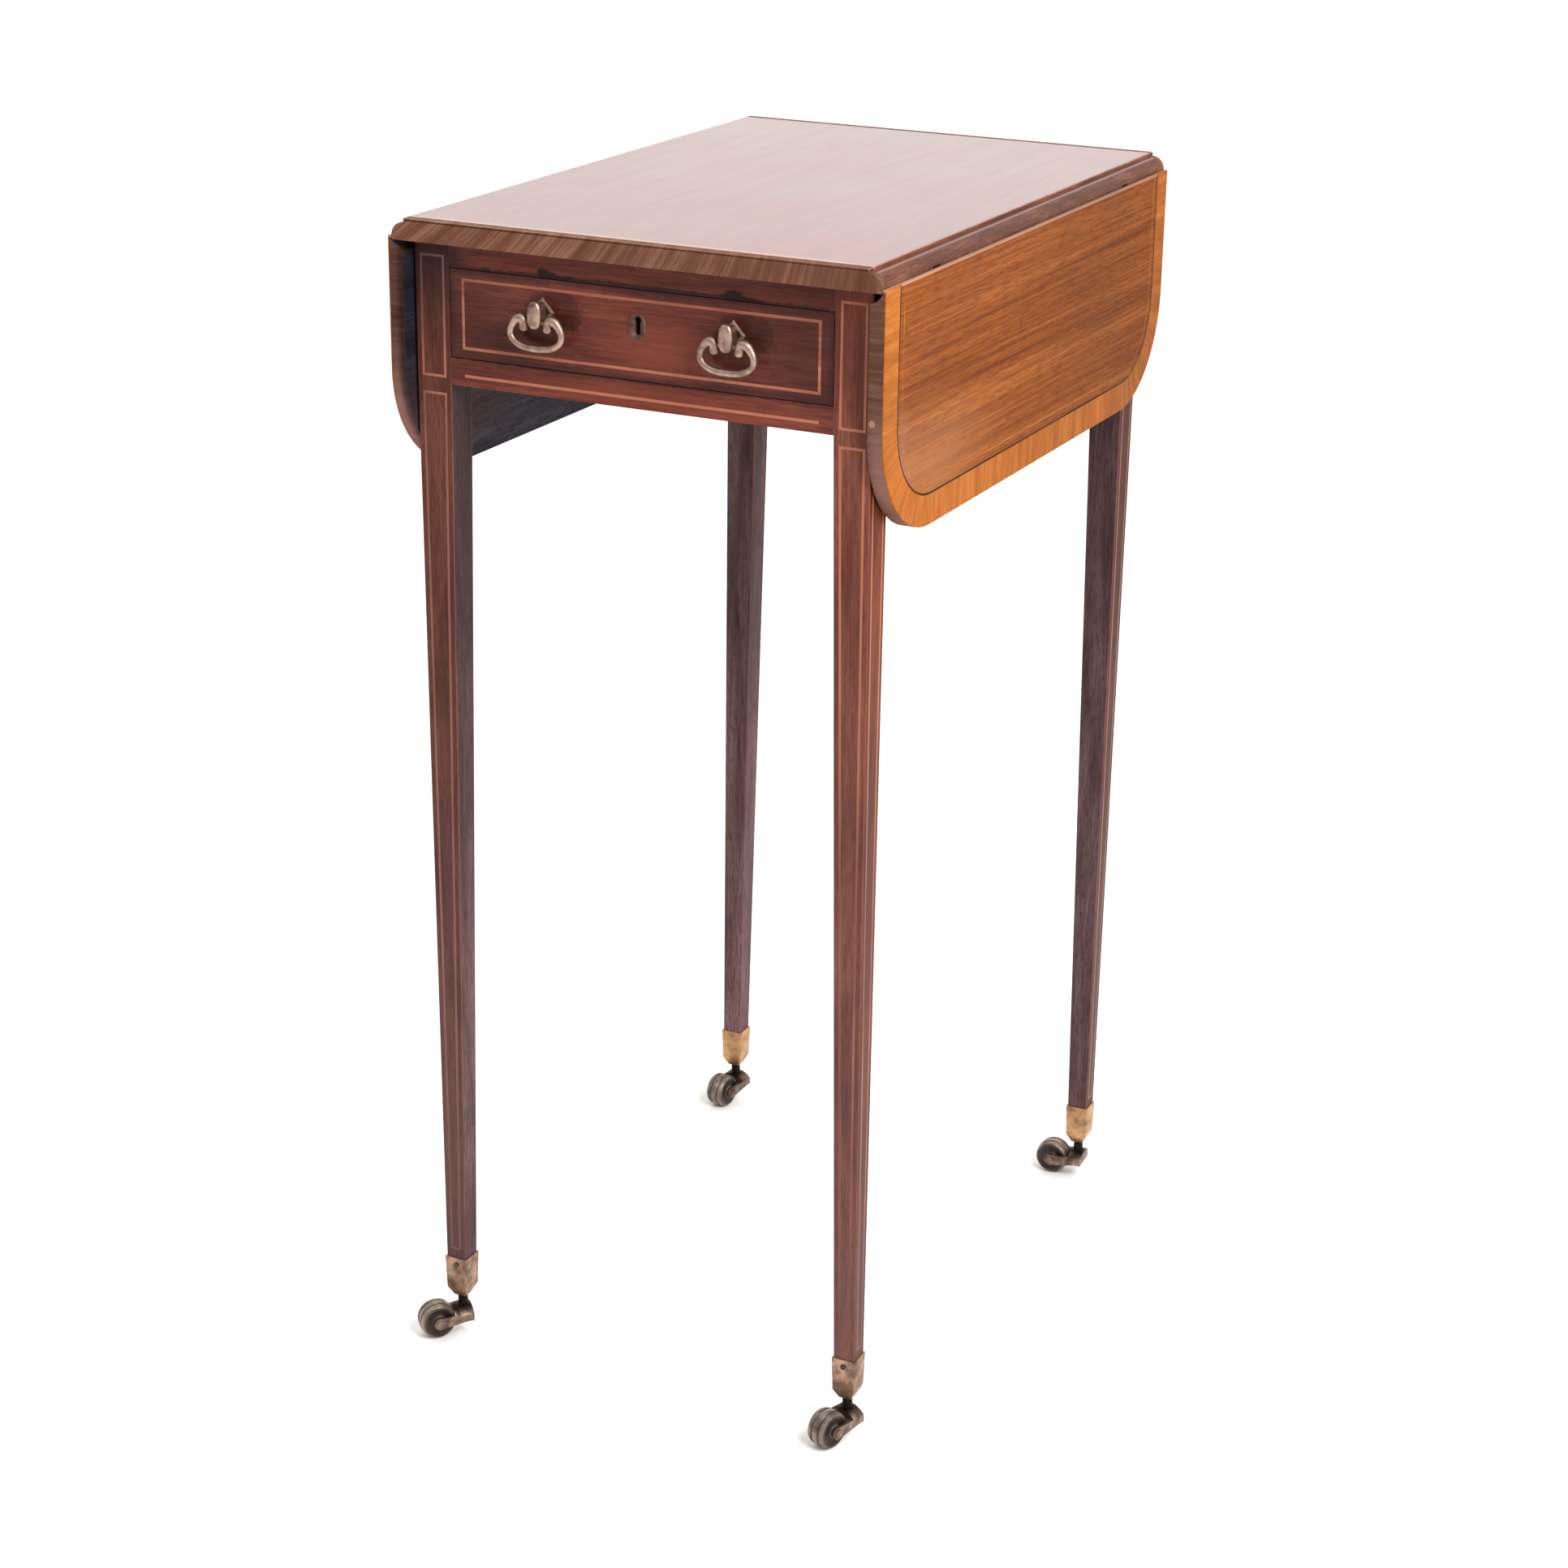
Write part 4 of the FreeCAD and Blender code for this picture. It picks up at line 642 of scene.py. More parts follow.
@dataclass(frozen=True)
class BandFinish(WoodFinish):
    """Crossbanding: the grain runs across the band and fans round the leaf's corners, in short joined lengths."""

    corner_y_mm: float = 152.0
    corner_z_mm: float = 642.0
    corner_radius_mm: float = 68.0
    length_mm: float = 52.0
    length_tone: Pair = (0.94, 1.05)

    def colour(self, tree: bpy.types.NodeTree, coords: bpy.types.Node) -> tuple[Socket, Socket]:
        """Colour and pore height along the outline.

        Args:
            tree: material's tree.
            coords: texture coordinate node.

        Returns:
            Colour and height.
        """
        place = add(tree, "ShaderNodeSeparateXYZ", {0: coords.outputs["Object"]})
        out_y = add(tree, "ShaderNodeMath", {0: place.outputs[1]}, operation="ABSOLUTE")
        over_y = add(tree, "ShaderNodeMath", {0: out_y.outputs[0], 1: self.corner_y_mm * MM}, operation="SUBTRACT")
        under_z = add(tree, "ShaderNodeMath", {0: self.corner_z_mm * MM, 1: place.outputs[2]}, operation="SUBTRACT")
        past_y, past_z = [add(tree, "ShaderNodeMath", {0: s.outputs[0], 1: 0.0}, operation="MAXIMUM")
                          for s in (over_y, under_z)]
        short_y, short_z = [add(tree, "ShaderNodeMath", {0: s.outputs[0], 1: 0.0}, operation="MINIMUM")
                            for s in (over_y, under_z)]
        turn = add(tree, "ShaderNodeMath", {0: past_z.outputs[0], 1: past_y.outputs[0]}, operation="ARCTAN2")
        arc = add(tree, "ShaderNodeMath", {0: turn.outputs[0], 1: self.corner_radius_mm * MM, 2: short_z.outputs[0]},
                  operation="MULTIPLY_ADD")
        along = add(tree, "ShaderNodeMath", {0: arc.outputs[0], 1: short_y.outputs[0]}, operation="SUBTRACT")
        reach = add(tree, "ShaderNodeCombineXYZ", {0: past_y.outputs[0], 1: past_z.outputs[0]})
        across = add(tree, "ShaderNodeVectorMath", {0: reach.outputs[0]}, operation="LENGTH")
        ends = add(tree, "ShaderNodeMath", {0: place.outputs[1]}, operation="SIGN")
        strip = add(tree, "ShaderNodeCombineXYZ", {0: ends.outputs[0], 1: across.outputs["Value"],
                                                   2: along.outputs[0]})
        colour, height = self.timber.layers(tree, strip.outputs[0])
        count = add(tree, "ShaderNodeMath", {0: along.outputs[0], 1: self.length_mm * MM}, operation="DIVIDE")
        whole = add(tree, "ShaderNodeMath", {0: count.outputs[0]}, operation="FLOOR")
        shade = add(tree, "ShaderNodeTexWhiteNoise", {"W": whole.outputs[0]}, noise_dimensions="1D")
        tone = add(tree, "ShaderNodeMapRange", {"Value": shade.outputs["Value"], "To Min": self.length_tone[0],
                                                "To Max": self.length_tone[1]})
        joined = add(tree, "ShaderNodeVectorMath", {0: colour, "Scale": tone.outputs[0]}, operation="SCALE")
        return joined.outputs[0], height


@dataclass(frozen=True)
class MetalFinish:
    """Brass or iron as cast or forged: bright where rubbed, brown in patches, a fine casting grain."""

    name: str
    bright: str
    tarnish: str
    deep: str
    roughness: float
    patch_mm: float = 6.0
    # Noise values of deep, tarnished and bright metal
    patch_stops: Triple = (0.24, 0.44, 0.62)
    # Real casting grit is about 0.1 mm, too fine to show in the render, so it is drawn coarser
    grit_mm: float = 0.6
    grit_edge: Pair = (0.42, 0.3)
    grit_strength: float = 0.25
    grit_relief_mm: float = 0.15
    metallic: float = 1.0
    dirt: float = 0.45
    # Roughness of tarnished and of bright metal as shares, and the most it comes to
    dulling: Pair = (1.35, 0.8)
    dullest: float = 0.95
    iron_above_mm: float = 0.0
    iron_blend_mm: float = 2.0
    iron: str = "#241d1a"
    # Darkening read from the mesh: dirt, and on the handle plates painted shade near the boss
    grimy: bool = False
    grease: str = "#3a312d"

    def material(self) -> bpy.types.Material:
        """Build the material.

        Returns:
            Material named for the metal and its surface.
        """
        made = bpy.data.materials.new(self.name)
        made.use_nodes = True
        tree = made.node_tree
        tree.nodes.clear()
        coords = add(tree, "ShaderNodeTexCoord").outputs["Object"]
        patch = add(tree, "ShaderNodeTexNoise", {"Vector": coords, "Scale": 1 / (self.patch_mm * MM), "Detail": 5.0,
                                                 "Roughness": 0.6})
        grit = add(tree, "ShaderNodeTexNoise", {"Vector": coords, "Scale": 1 / (self.grit_mm * MM), "Detail": 2.0})
        ramp = add(tree, "ShaderNodeValToRGB", {"Fac": patch.outputs["Fac"]},
                   stops=tuple(zip(self.patch_stops, (self.deep, self.tarnish, self.bright))))
        colour = ramp.outputs["Color"]
        speck = add(tree, "ShaderNodeMapRange", {"Value": grit.outputs["Fac"], "From Min": self.grit_edge[0],
                                                 "From Max": self.grit_edge[1], "To Max": self.dirt})
        dirty = add(tree, "ShaderNodeMix", {0: speck.outputs[0], 6: colour, 7: linear(self.deep)}, data_type="RGBA")
        colour = dirty.outputs[2]
        if self.iron_above_mm:
            level = add(tree, "ShaderNodeSeparateXYZ", {0: coords})
            upper = add(tree, "ShaderNodeMapRange", {
                "Value": level.outputs[2], "From Min": (self.iron_above_mm - self.iron_blend_mm) * MM,
                "From Max": (self.iron_above_mm + self.iron_blend_mm) * MM})
            forged = add(tree, "ShaderNodeMix", {0: upper.outputs[0], 6: colour, 7: linear(self.iron)},
                         data_type="RGBA")
            colour = forged.outputs[2]
        # Dirt, and on the handle plates painted shade near the boss
        if self.grimy:
            grime = add(tree, "ShaderNodeAttribute", attribute_name="grime")
            greasy = add(tree, "ShaderNodeMix", {0: grime.outputs["Fac"], 6: colour, 7: linear(self.grease)},
                         data_type="RGBA")
            colour = greasy.outputs[2]
        dull = add(tree, "ShaderNodeMapRange", {"Value": patch.outputs["Fac"], "From Min": NOISE_SPAN[0],
                                                "From Max": NOISE_SPAN[1],
                                                "To Min": min(self.roughness * self.dulling[0], self.dullest),
                                                "To Max": self.roughness * self.dulling[1]})
        bump = add(tree, "ShaderNodeBump", {"Strength": self.grit_strength, "Distance": self.grit_relief_mm * MM,
                                            "Height": grit.outputs["Fac"]})
        shader = add(tree, "ShaderNodeBsdfPrincipled", {"Base Color": colour, "Metallic": self.metallic,
                                                        "Roughness": dull.outputs[0], "Normal": bump.outputs[0]})
        add(tree, "ShaderNodeOutputMaterial", {"Surface": shader.outputs[0]})
        return made


class Finishes:
    """The table's materials, each built once."""

    def __init__(self) -> None:
        """Start with an empty store."""
        self._made: dict[str, bpy.types.Material] = {}

    def get(self, finish: WoodFinish | MetalFinish) -> bpy.types.Material:
        """Give the material of a finish.

        Args:
            finish: finish to look up or build.

        Returns:
            Its material.
        """
        if finish.name not in self._made:
            self._made[finish.name] = finish.material()
        return self._made[finish.name]


def red_mahogany(grain: Grain) -> Timber:
    """Dark red mahogany of the frame."""
    return Timber("#391812", "#5c2b22", "#723b2e", grain, band_mm=18.0, streak_mm=1.6, pore_mm=0.8, spread=0.26,
                  pore_depth=0.4)


def boxwood(dark: str, body: str, light: str, grain: Grain) -> Timber:
    """Close, even boxwood of the strings, in the tones that polish and age have given it."""
    return Timber(dark, body, light, grain, band_mm=20.0, pore_mm=0.5, pore_depth=0.3)


def lining_oak(grain: Grain) -> Timber:
    """Open-grained oak of the drawer's linings."""
    return Timber("#6d4d31", "#8f6b49", "#a68362", grain, band_mm=9.0, streak_mm=1.3, pore_mm=0.9, length_ratio=60.0,
                  wander=0.2, pore_depth=0.5, spread=0.28)


# Colours of old dirt in chips and in dents of the top, of painted shade along gaps, of painted shadow round the
# handles, and of the darker ends of the drawer front
CHIP_DIRT = "#120707"
GAP_SHADE = "#1c0d0d"
HANDLE_SHADOW = "#240d0b"
DRAWER_END_DARK = "#351a18"
DENT_DIRT = "#20100d"
# Middle and reach of the darkening at the head of the front left leg, under the top
DARK_HEAD: tuple[Point, Point] = ((-134.0, -210.0, 716.0), (34.0, 30.0, 62.0))

# Polished dark mahogany shows deep red-brown with fine darker pores under a soft gloss
LEG_WOOD = LegFinish(
    "mahogany_leg_french_polished",
    Timber("#40221c", "#62382e", "#77483c", Grain.UPRIGHT, band_mm=18.0, pore_mm=0.8, spread=0.3, pore_depth=0.4),
    SATIN, rubbed="#9a5a44",
    stains=(Stain.haze((134.0, -210.0, 690.0), (30.0, 30.0, 75.0), "#4c2015", 0.5, 30.0, 0.7),
            Stain.haze(*DARK_HEAD, "#2a1b1e", 0.75, 20.0, 0.85)),
    # Inward faces: dark unpolished wood, the darkness partly painted shade
    hidden=Timber("#301f21", "#4e393b", "#5f494b", Grain.UPRIGHT, band_mm=18.0, spread=0.3))
# Each leg lighter or darker by its own amount, partly its own tone and partly painted light and shade: faces that
# show, then faces that look inwards
LEG_TONES = {"front_left": (0.76, 1.25), "front_right": (1.38, 1.0), "back_left": (0.85, 1.7),
             "back_right": (0.78, 1.3)}
# Rails of the redder wood look glossier, with black chips over the drawer, a dark patch towards the left leg, a
# lighter patch on the bottom rail and painted shade along the drawer's gaps
RAIL_WOOD = WoodFinish(
    "mahogany_rail_french_polished", red_mahogany(Grain.ACROSS_TABLE), GLOSS, rubbed="#9a5238",
    stains=(Stain((-58.5, -210.0, 704.4), (8.0, 6.0, 3.4), CHIP_DIRT, 0.9, ragged=0.9),
            Stain((-50.0, -210.0, 703.0), (10.0, 6.0, 1.8), CHIP_DIRT, 0.9, ragged=0.6),
            Stain((60.8, -210.0, 704.6), (9.0, 6.0, 3.6), CHIP_DIRT, 0.9, ragged=0.9),
            Stain((70.0, -210.0, 703.0), (12.0, 6.0, 1.9), CHIP_DIRT, 0.9, ragged=0.6),
            Stain((-123.0, -210.0, 708.0), (18.0, 8.0, 14.0), "#1d1113", 0.75, ragged=0.2, fringe_mm=8.0, soft=0.9),
            # Painted shade in the gap over the drawer
            Stain((0.0, -210.0, 702.6), (150.0, 6.0, 2.4), GAP_SHADE, 0.75, ragged=0.5),
            Stain.haze((10.0, -210.0, 641.0), (125.0, 6.0, 12.0), "#84402c", 0.4, 30.0),
            # Painted shade in the gap under the drawer
            Stain((0.0, -210.0, 650.6), (150.0, 6.0, 1.8), GAP_SHADE, 0.6, ragged=0.5)))
# The drawer front is lighter in the middle and darker towards its ends, with painted shadows of the handles, painted
# shade in the keyhole, and old dirt with painted shade along its edges
DRAWER_WOOD = WoodFinish(
    "mahogany_drawer_front_french_polished", red_mahogany(Grain.ACROSS_TABLE), GLOSS, rubbed="#9a5238",
    # Painted shadows of the handles on the wood
    stains=(Stain((-53.0, -210.0, 684.0), (21.0, 6.0, 14.0), HANDLE_SHADOW, 0.6, ragged=0.4),
            Stain((67.5, -210.0, 684.0), (22.0, 6.0, 14.0), HANDLE_SHADOW, 0.6, ragged=0.4),
            Stain((-60.5, -210.0, 671.0), (16.0, 6.0, 11.0), HANDLE_SHADOW, 0.5, ragged=0.4),
            Stain((60.5, -210.0, 671.0), (16.0, 6.0, 11.0), HANDLE_SHADOW, 0.5, ragged=0.4),
            # Painted shade inside the keyhole
            Stain((0.0, -206.0, 681.0), (4.9, 9.0, 7.0), "#0c0605", 0.97, ragged=0.02),
            # Lighter in the middle, darker towards the ends
            Stain.haze((14.0, -210.0, 667.0), (60.0, 6.0, 30.0), "#83422f", 0.4, 30.0),
            Stain.haze((-112.0, -210.0, 676.0), (60.0, 6.0, 60.0), DRAWER_END_DARK, 0.5, 30.0),
            Stain.haze((112.0, -210.0, 676.0), (70.0, 6.0, 60.0), DRAWER_END_DARK, 0.65, 30.0),
            # Old dirt along the front's edges, with painted shade where they meet the gaps
            Crevice((0.0, 676.2), (121.5, 25.7), 5.5, "#2b1616", 0.6)))
# The top is the same wood under a mirror-like film, so a white room shows in it as a pinkish glare
TOP_WOOD = TopFinish(
    "mahogany_top_mirror_polish",
    Timber("#6d362d", "#743a30", "#7b3f34", Grain.FRONT_TO_BACK, band_mm=26.0, streak_mm=2.2, pore_depth=0.25),
    MIRROR, rubbed="#c08a70", rub_above_mm=729.0,
    moulding=Timber("#3b2016", "#5e3524", "#764c38", Grain.FRONT_TO_BACK, band_mm=9.0, streak_mm=1.2, spread=0.3),
    stains=(Stain((96.0, 128.0, 730.0), (13.0, 13.0, 8.0), "#5a2a24", 0.25, ragged=0.4),
            Stain((118.0, 60.0, 730.0), (2.2, 4.5, 3.0), DENT_DIRT, 0.8, ragged=0.3),
            Stain((84.0, 168.0, 730.0), (1.8, 6.0, 3.0), DENT_DIRT, 0.7, ragged=0.3),
            Stain((72.0, -120.0, 730.0), (1.6, 3.0, 3.0), DENT_DIRT, 0.8, ragged=0.3),
            # Painted highlight: a pink line of light along the rounded front arris
            Stain((0.0, -214.0, 730.0), (200.0, 5.0, 3.0), "#c98f78", 0.42, ragged=0.4, fringe_mm=25.0)))
# Rosewood-brown strip with its streaks standing on end
END_LIPPING = LippingFinish(
    "rosewood_end_lipping_waxed",
    Timber("#54362a", "#724b3b", "#8e6754", Grain.UPRIGHT, band_mm=9.0, streak_mm=1.5, pore_mm=0.9, length_ratio=30.0,
           pore_ratio=15.0, wander=0.2, pore_depth=0.3, spread=0.3),
    WAXED, rubbed="#c79a7c", rub_above_mm=728.0,
    stains=(Stain.haze((150.0, -220.0, 723.0), (290.0, 20.0, 20.0), "#4a2d22", 0.5, 30.0, 0.95),))
# Leaves: a field of orange-brown with long straight streaks, duller cross-grain edges, dark blue-grey wood behind that
# is partly painted shade
FIELD_TIMBER = Timber("#52270f", "#794018", "#98592c", Grain.FRONT_TO_BACK, band_mm=8.0, streak_mm=1.3, pore_mm=0.8,
                      length_ratio=150.0, pore_ratio=18.0, wander=0.05, pore_depth=0.5, band_share=0.5,
                      streak_share=0.7, spread=0.26)
EDGE_TIMBER = Timber("#3a241d", "#52362c", "#65473c", Grain.ACROSS_TABLE, band_mm=7.0, streak_mm=1.4, pore_mm=0.8,
                     length_ratio=30.0, wander=0.2, pore_depth=0.2, spread=0.3)
INSIDE_TIMBER = Timber("#211e25", "#37343e", "#484551", Grain.FRONT_TO_BACK, band_mm=18.0)
# Satinwood glows golden orange, with a silky stripe across the band
BANDING = BandFinish(
    "satinwood_crossband_waxed",
    Timber("#8a4a1d", "#9f5b24", "#b16b30", Grain.FRONT_TO_BACK, band_mm=6.0, streak_mm=1.2, pore_mm=0.9,
           length_ratio=26.0, wander=0.15, pore_depth=0.2, spread=0.3),
    # Painted light, darker towards the back
    WAXED, fade=(1.0, 0.78))
# Ebonised string has gone from black to a dark brown line
EBONY = WoodFinish("ebonised_string_waxed",
                   Timber("#2b170c", "#422511", "#573319", Grain.FRONT_TO_BACK, band_mm=8.0), WAXED)
# Boxwood under red polish is a line only a little paler than the wood round it: brightest on the right leg and the
# bottom rail, grey towards the castors, darker at the head of the left leg
BOXWOOD_UPRIGHT = WoodFinish(
    "boxwood_string_polished", boxwood("#6a3e31", "#83503f", "#986753", Grain.UPRIGHT), GLOSS,
    stains=(Stain.haze((133.0, -204.0, 560.0), (60.0, 90.0, 260.0), "#a8674f", 0.85),
            Stain.haze((0.0, -210.0, 641.0), (220.0, 30.0, 30.0), "#ac6a50", 0.75, soft=0.5),
            Stain.haze((-133.0, -204.0, 120.0), (60.0, 90.0, 300.0), "#5d4540", 0.6),
            Stain.haze((133.0, -204.0, 60.0), (60.0, 90.0, 150.0), "#5d4540", 0.5),
            Stain.haze((-133.0, -204.0, 400.0), (60.0, 90.0, 420.0), "#7a5750", 0.45),
            Stain.haze(*DARK_HEAD, "#4c3a3b", 0.75, 20.0, 0.85)))
BOXWOOD_LEVEL = WoodFinish("boxwood_string_polished_level",
                           boxwood("#7c4634", "#9c604a", "#b27a60", Grain.ACROSS_TABLE), GLOSS)
FIELD_LINE = WoodFinish("boxwood_field_line_waxed",
                        boxwood("#8a4a20", "#9c5e2c", "#ae733e", Grain.FRONT_TO_BACK), WAXED)
# Oak linings are pale brown and open-grained, never polished
OAK = WoodFinish("oak_lining_bare", lining_oak(Grain.FRONT_TO_BACK), BARE)
OAK_CROSS = WoodFinish("oak_lining_bare_crosswise", lining_oak(Grain.ACROSS_TABLE), BARE)
# Beech rails are stained dark to pass for mahogany
BEECH = WoodFinish(
    "beech_rail_stained",
    Timber("#331b11", "#472819", "#573623", Grain.FRONT_TO_BACK, band_mm=10.0, streak_mm=1.1, pore_mm=0.7,
           length_ratio=60.0, wander=0.2, spread=0.28), BARE)
# Old cast brass is pale and dull with brown in the hollows
HANDLE_BRASS = MetalFinish("brass_handle_cast_aged", "#b49b8b", "#947b6c", "#51403a", roughness=0.42, patch_mm=7.0,
                           grimy=True)
CUP_BRASS = MetalFinish("brass_castor_cup_cast_worn", "#d0a57b", "#b08963", "#6b5342", roughness=0.42, patch_mm=13.0)
DULL_CUP_BRASS = MetalFinish("brass_castor_cup_cast_dulled", "#b2907a", "#8a6f5d", "#4c3d35", roughness=0.45,
                             patch_mm=9.0)
HORN_BRASS = MetalFinish("brass_castor_horn_cast_worn", "#96806f", "#6f5e52", "#352b27", roughness=0.45, patch_mm=7.0,
                         iron_above_mm=17.5)
WHEEL_BRASS = MetalFinish("brass_castor_wheel_patinated", "#a4968a", "#81736a", "#453a35", roughness=0.5, patch_mm=9.0,
                          grimy=True)
# Brass that was never rubbed has tarnished to a flat brown
KEYHOLE_BRASS = MetalFinish("brass_keyhole_plate_tarnished", "#84695f", "#664c44", "#3d2c28", roughness=0.5,
                            patch_mm=7.0)
LOCK_BRASS = MetalFinish("brass_lock_plate_tarnished", "#6f5a3c", "#4a3b28", "#261d14", roughness=0.5, patch_mm=9.0)
# Wrought iron has gone nearly black with a brown bloom
IRON = MetalFinish("iron_hinge_oxidised", "#6a5c52", "#433831", "#241c18", roughness=0.6, patch_mm=5.0, metallic=0.9)


def dress(names: Iterable[str], material: bpy.types.Material) -> None:
    """Give solids of the frame a material.

    Args:
        names: nodes to dress.
        material: material for all of them.
    """
    for name in names:
        for slot in frame["nodes"][name].material_slots:
            slot.material = material
        log.info("dressed %s in %s", name, material.name)


def as_piece(name: str, mesh: bpy.types.Mesh, body: str, slot: str, *replaced: str) -> bpy.types.Object:
    """Put a finished mesh on the table.

    Args:
        name: name of the piece.
        mesh: mesh in table coordinates, with its material.
        body: body it moves with.
        slot: material slot of the record, not used.
        replaced: solids it stands for.

    Returns:
        The piece.
    """
    piece = bpy.data.objects.new(name, mesh)
    bpy.context.scene.collection.objects.link(piece)
    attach(piece, body)
    if replaced:
        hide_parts(*replaced)
    log.info("built %s: %d faces", name, len(mesh.polygons))
    return piece


def evaluated(name: str, mesh: bpy.types.Mesh, tree: bpy.types.NodeTree, values: dict[str, Any]) -> bpy.types.Mesh:
    """Run a geometry tree on a mesh and keep the plain result.

    Args:
        name: name of the result.
        mesh: points or lines that the tree works on.
        tree: geometry tree with named inputs.
        values: value of each named input.

    Returns:
        Plain mesh.
    """
    holder = bpy.data.objects.new(name + "_holder", mesh)
    bpy.context.scene.collection.objects.link(holder)
    modifier = holder.modifiers.new("shape", "NODES")
    modifier.node_group = tree
    for item in tree.interface.items_tree:
        if item.item_type == "SOCKET" and item.in_out == "INPUT" and item.name in values:
            modifier[item.identifier] = values[item.name]
    holder.update_tag()
    graph = bpy.context.evaluated_depsgraph_get()
    plain = bpy.data.meshes.new_from_object(holder.evaluated_get(graph))
    plain.name = name
    holder.modifiers.remove(modifier)
    bpy.data.objects.remove(holder)
    return plain


def geometry_tree(name: str, sockets: Sequence[tuple[str, str]]) -> tuple[bpy.types.NodeTree, bpy.types.Node]:
    """Start a geometry tree with named inputs.

    Args:
        name: name of the tree.
        sockets: name and socket type of each input after the geometry.

    Returns:
        The tree and its input node.
    """
    tree = bpy.data.node_groups.new(name, "GeometryNodeTree")
    tree.interface.new_socket("Geometry", in_out="INPUT", socket_type="NodeSocketGeometry")
    for label, kind in sockets:
        tree.interface.new_socket(label, in_out="INPUT", socket_type=kind)
    tree.interface.new_socket("Geometry", in_out="OUTPUT", socket_type="NodeSocketGeometry")
    return tree, add(tree, "NodeGroupInput")


def finish_tree(tree: bpy.types.NodeTree, given: bpy.types.Node, shape: Socket) -> None:
    """End a geometry tree: real geometry with its material.

    Args:
        tree: tree to end.
        given: its input node.
        shape: geometry made so far.
    """
    real = add(tree, "GeometryNodeRealizeInstances", {0: shape})
    painted = add(tree, "GeometryNodeSetMaterial", {"Geometry": real.outputs[0],
                                                    "Material": given.outputs["Material"]})
    add(tree, "NodeGroupOutput", {0: painted.outputs[0]})


def bar_tree() -> bpy.types.NodeTree:
    """Tree that sweeps a round bar along a line, as thick at each point as the line says.

    Returns:
        The tree.
    """
    tree, given = geometry_tree("swept_bar", (("Steps", "NodeSocketInt"), ("Sides", "NodeSocketInt"),
                                              ("Material", "NodeSocketMaterial")))
    line = add(tree, "GeometryNodeMeshToCurve", {"Mesh": given.outputs["Geometry"]})
    smooth = add(tree, "GeometryNodeCurveSplineType", {"Curve": line.outputs[0]}, spline_type="CATMULL_ROM")
    fine = add(tree, "GeometryNodeSetSplineResolution", {0: smooth.outputs[0], "Resolution": given.outputs["Steps"]})
    girth = add(tree, "GeometryNodeInputNamedAttribute", {"Name": "girth"}, data_type="FLOAT")
    ring = add(tree, "GeometryNodeCurvePrimitiveCircle", {"Resolution": given.outputs["Sides"], "Radius": 1.0})
    bar = add(tree, "GeometryNodeCurveToMesh", {"Curve": fine.outputs[0], "Profile Curve": ring.outputs["Curve"],
                                                "Scale": girth.outputs["Attribute"], "Fill Caps": True})
    soft = add(tree, "GeometryNodeSetShadeSmooth", {0: bar.outputs[0]})
    finish_tree(tree, given, soft.outputs[0])
    return tree


def wedge_tree() -> bpy.types.NodeTree:
    """Tree that sets a thin tapered key on each point, narrow end to the front.

    Returns:
        The tree.
    """
    tree, given = geometry_tree("dovetail_keys", (("Skin", "NodeSocketFloat"), ("Length", "NodeSocketFloat"),
                                                  ("Narrow", "NodeSocketFloat"), ("Wide", "NodeSocketFloat"),
                                                  ("Material", "NodeSocketMaterial")))
    size = add(tree, "ShaderNodeCombineXYZ", {0: given.outputs["Skin"], 1: given.outputs["Length"], 2: 1.0})
    block = add(tree, "GeometryNodeMeshCube", {"Size": size.outputs[0]})
    place = add(tree, "GeometryNodeInputPosition")
    parts = add(tree, "ShaderNodeSeparateXYZ", {0: place.outputs[0]})
    half = add(tree, "ShaderNodeMath", {0: given.outputs["Length"], 1: 0.5}, operation="MULTIPLY")
    back = add(tree, "ShaderNodeMapRange", {"Value": parts.outputs[1], "From Min": 0.0, "From Max": half.outputs[0],
                                            "To Min": given.outputs["Narrow"], "To Max": given.outputs["Wide"]},
               clamp=True)
    height = add(tree, "ShaderNodeMath", {0: parts.outputs[2], 1: back.outputs[0]}, operation="MULTIPLY")
    moved = add(tree, "ShaderNodeCombineXYZ", {0: parts.outputs[0], 1: parts.outputs[1], 2: height.outputs[0]})
    key = add(tree, "GeometryNodeSetPosition", {"Geometry": block.outputs["Mesh"], "Position": moved.outputs[0]})
    keys = add(tree, "GeometryNodeInstanceOnPoints", {"Points": given.outputs["Geometry"],
                                                      "Instance": key.outputs[0]})
    finish_tree(tree, given, keys.outputs[0])
    return tree


def line_mesh(name: str, points: Sequence[Point], girths: Sequence[float]) -> bpy.types.Mesh:
    """Line of points in millimetres, each with the bar's radius there.

    Args:
        name: name of the mesh.
        points: points in order.
        girths: radius at each point.

    Returns:
        Mesh of edges with a girth on each point.
    """
    mesh = bpy.data.meshes.new(name)
    edges = [(k, k + 1) for k in range(len(points) - 1)]
    mesh.from_pydata([[v * MM for v in p] for p in points], edges, [])
    layer = mesh.attributes.new("girth", "FLOAT", "POINT")
    layer.data.foreach_set("value", [g * MM for g in girths])
    return mesh


def skin(shape: bmesh.types.BMesh, rings: Sequence[Sequence[bmesh.types.BMVert]], smooth: bool = True) -> None:
    """Join each ring of points to the next with four-sided faces.

    Args:
        shape: mesh that holds the points.
        rings: rings in order, with as many points in each.
        smooth: whether the faces are shaded smooth.
    """
    for low, high in zip(rings, rings[1:]):
        for k in range(len(low)):
            nxt = (k + 1) % len(low)
            shape.faces.new((low[k], low[nxt], high[nxt], high[k])).smooth = smooth


